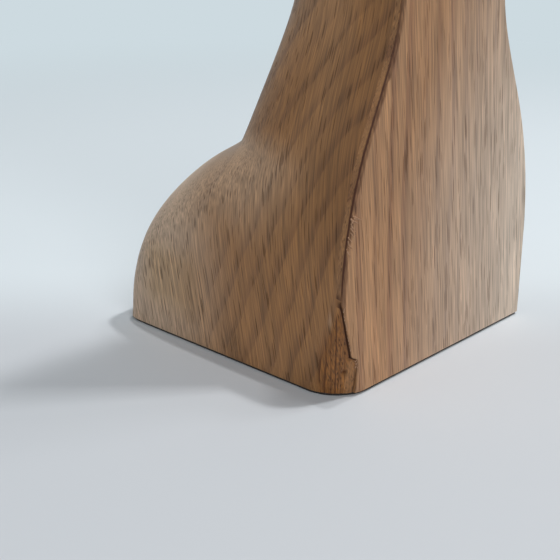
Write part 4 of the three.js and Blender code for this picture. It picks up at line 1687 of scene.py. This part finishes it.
def pale_floor():
    """Pale matt laminate, which far from the wedge fades into the backdrop as the camera sees it."""
    material, tree = start_material("Pale matt laminate")
    place = add(tree, "ShaderNodeTexCoord").outputs["Object"]
    forward = add(tree, VECTOR_MATH, (place, tuple(ahead)), operation="DOT_PRODUCT").outputs["Value"]
    behind = add(tree, MAP_RANGE, {"Value": forward, "From Min": -0.02, "From Max": 0.03},
                 interpolation_type="SMOOTHSTEP")
    colour = add(tree, MIX, {"Factor": behind, "A": linear("#d0d4d9"), "B": linear("#e9f1f6")},
                 data_type="RGBA")
    shader = add(tree, "ShaderNodeBsdfPrincipled", {"Base Color": colour, "Roughness": 0.7})
    rays = add(tree, "ShaderNodeLightPath").outputs
    seen = add(tree, MATH, (rays["Is Camera Ray"], rays["Is Glossy Ray"]), operation="MAXIMUM")
    out = add(tree, VECTOR_MATH, (place,), operation="LENGTH").outputs["Value"]
    near, far = NEAR_AND_FAR
    fade = add(tree, MAP_RANGE, {"Value": out, "From Min": near, "From Max": far},
               interpolation_type="SMOOTHSTEP")
    faded = add(tree, MATH, (fade, seen), operation="MULTIPLY")
    glow = add(tree, "ShaderNodeEmission", {"Color": linear(BACKDROP), "Strength": 1.0})
    mixed = add(tree, "ShaderNodeMixShader", (faded, shader, glow))
    add(tree, "ShaderNodeOutputMaterial", {"Surface": mixed})
    return material


floor_mesh = bpy.data.meshes.new("floor")
corners = [(x * FLOOR_REACH, y * FLOOR_REACH, 0) for x, y in ((-1, -1), (1, -1), (1, 1), (-1, 1))]
floor_mesh.from_pydata(corners, [], [(0, 1, 2, 3)])
floor_mesh.materials.append(pale_floor())
floor = bpy.data.objects.new("floor", floor_mesh)
scene.collection.objects.link(floor)
print("floor", 2 * FLOOR_REACH, "m wide")

# %% [markdown]
# Light as in a white room by day: three small lamps high up on the right throw the shadows, and two
# wide soft ones fill in from the front and from the left. Each lamp is placed by what it does: the
# direction of its shadow on the floor, and how steeply it shines.


# %% Lamps
LAMP_AIM = Vector((0, 0, 30)) * MM


def soft_lamp(name, shadow_direction, steepness, distance, size, watts):
    """A square lamp aimed at the wedge, which throws shadows in a direction on the floor."""
    away = Vector((*shadow_direction, 0)).normalized()
    rise = math.radians(steepness)
    place = (Vector((0, 0, math.sin(rise))) - away * math.cos(rise)) * distance
    lamp = bpy.data.objects.new(name, bpy.data.lights.new(name, "AREA"))
    lamp.data.size = size
    lamp.data.energy = watts
    lamp.location = place
    lamp.rotation_mode = "QUATERNION"
    lamp.rotation_quaternion = (LAMP_AIM - place).to_track_quat("-Z", "Y")
    scene.collection.objects.link(lamp)


# Shadow direction, degrees above the floor, distance and size in metres, and watts
LAMPS = {
    "window": ((-0.72, 0.69), 68.4, 1.1, 0.06, 3.9),
    "ceiling_lamp": ((-0.89, 0.45), 83, 1.1, 0.04, 2.3),
    "side_lamp": ((-0.87, 0.49), 62.7, 1.1, 0.12, 0.9),
    "front_lamp": ((0.47, 0.88), 36, 1.2, 0.7, 5.5),
    "left_lamp": ((0.85, -0.5), 32, 0.9, 0.5, 0.5),
}
for name, values in LAMPS.items():
    soft_lamp(name, *values)
print(len(LAMPS), "lamps,", round(sum(values[-1] for values in LAMPS.values()), 1), "W in all")

# %% [markdown]
# The room itself glows faintly, and is brighter in reflections, so that oil and brass have
# something to mirror. The camera sees it as the pale backdrop at its written colour.

# %% World
ROOM_LIGHT = 0.18
ROOM_MIRRORED = 0.3
world = bpy.data.worlds.new("soft room")
world.use_nodes = True
scene.world = world
room = world.node_tree
room.nodes.clear()
rays = add(room, "ShaderNodeLightPath").outputs
way = add(room, "ShaderNodeTexCoord").outputs["Generated"]
toward = add(room, VECTOR_MATH, (way, tuple(ahead)), operation="DOT_PRODUCT").outputs["Value"]
mirrored = add(room, MAP_RANGE, {"Value": toward, "From Min": -0.3, "From Max": 0.5,
                                 "To Min": ROOM_MIRRORED, "To Max": 1.0},
               interpolation_type="SMOOTHSTEP")
lit = add(room, MIX, {"Factor": rays["Is Glossy Ray"], "A": ROOM_LIGHT, "B": mirrored},
          data_type="FLOAT")
strength = add(room, MIX, {"Factor": rays["Is Camera Ray"], "A": lit, "B": 1.0}, data_type="FLOAT")
sky = add(room, "ShaderNodeBackground", {"Color": linear(BACKDROP), "Strength": strength})
add(room, "ShaderNodeOutputWorld", {"Surface": sky})
scene.view_settings.view_transform = "Standard"
print("the room glows at", ROOM_LIGHT, "and at", ROOM_MIRRORED, "or more in reflections")

# %% [markdown]
# Last, each piece is put on the body it rides on, and the solids of the frame that it stands for are
# hidden. The pad keeps its own mesh and only gets its rubber. Edges sharper than 38 degrees stay
# crisp, and everything below that is shaded smooth.

# %% Finish
CRISP_ANGLE = math.radians(38)
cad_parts["butt_pad"].material_slots[0].material = pad_rubber
pin_nodes = ["brass_pin_" + str(i + 1) for i in range(PIN_COUNT)]
dressed = ((core, "oak_core", ["oak_core"]), (board, "oak_facing", ["sole_facing"]),
           (strip, "grip_rubber", ["grip_strip"]), (pins, "brass", pin_nodes))
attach(slivers, "root")
for piece, slot, nodes in dressed:
    piece.data.set_sharp_from_angle(angle=CRISP_ANGLE)
    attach(piece, "root")
    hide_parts(*nodes)
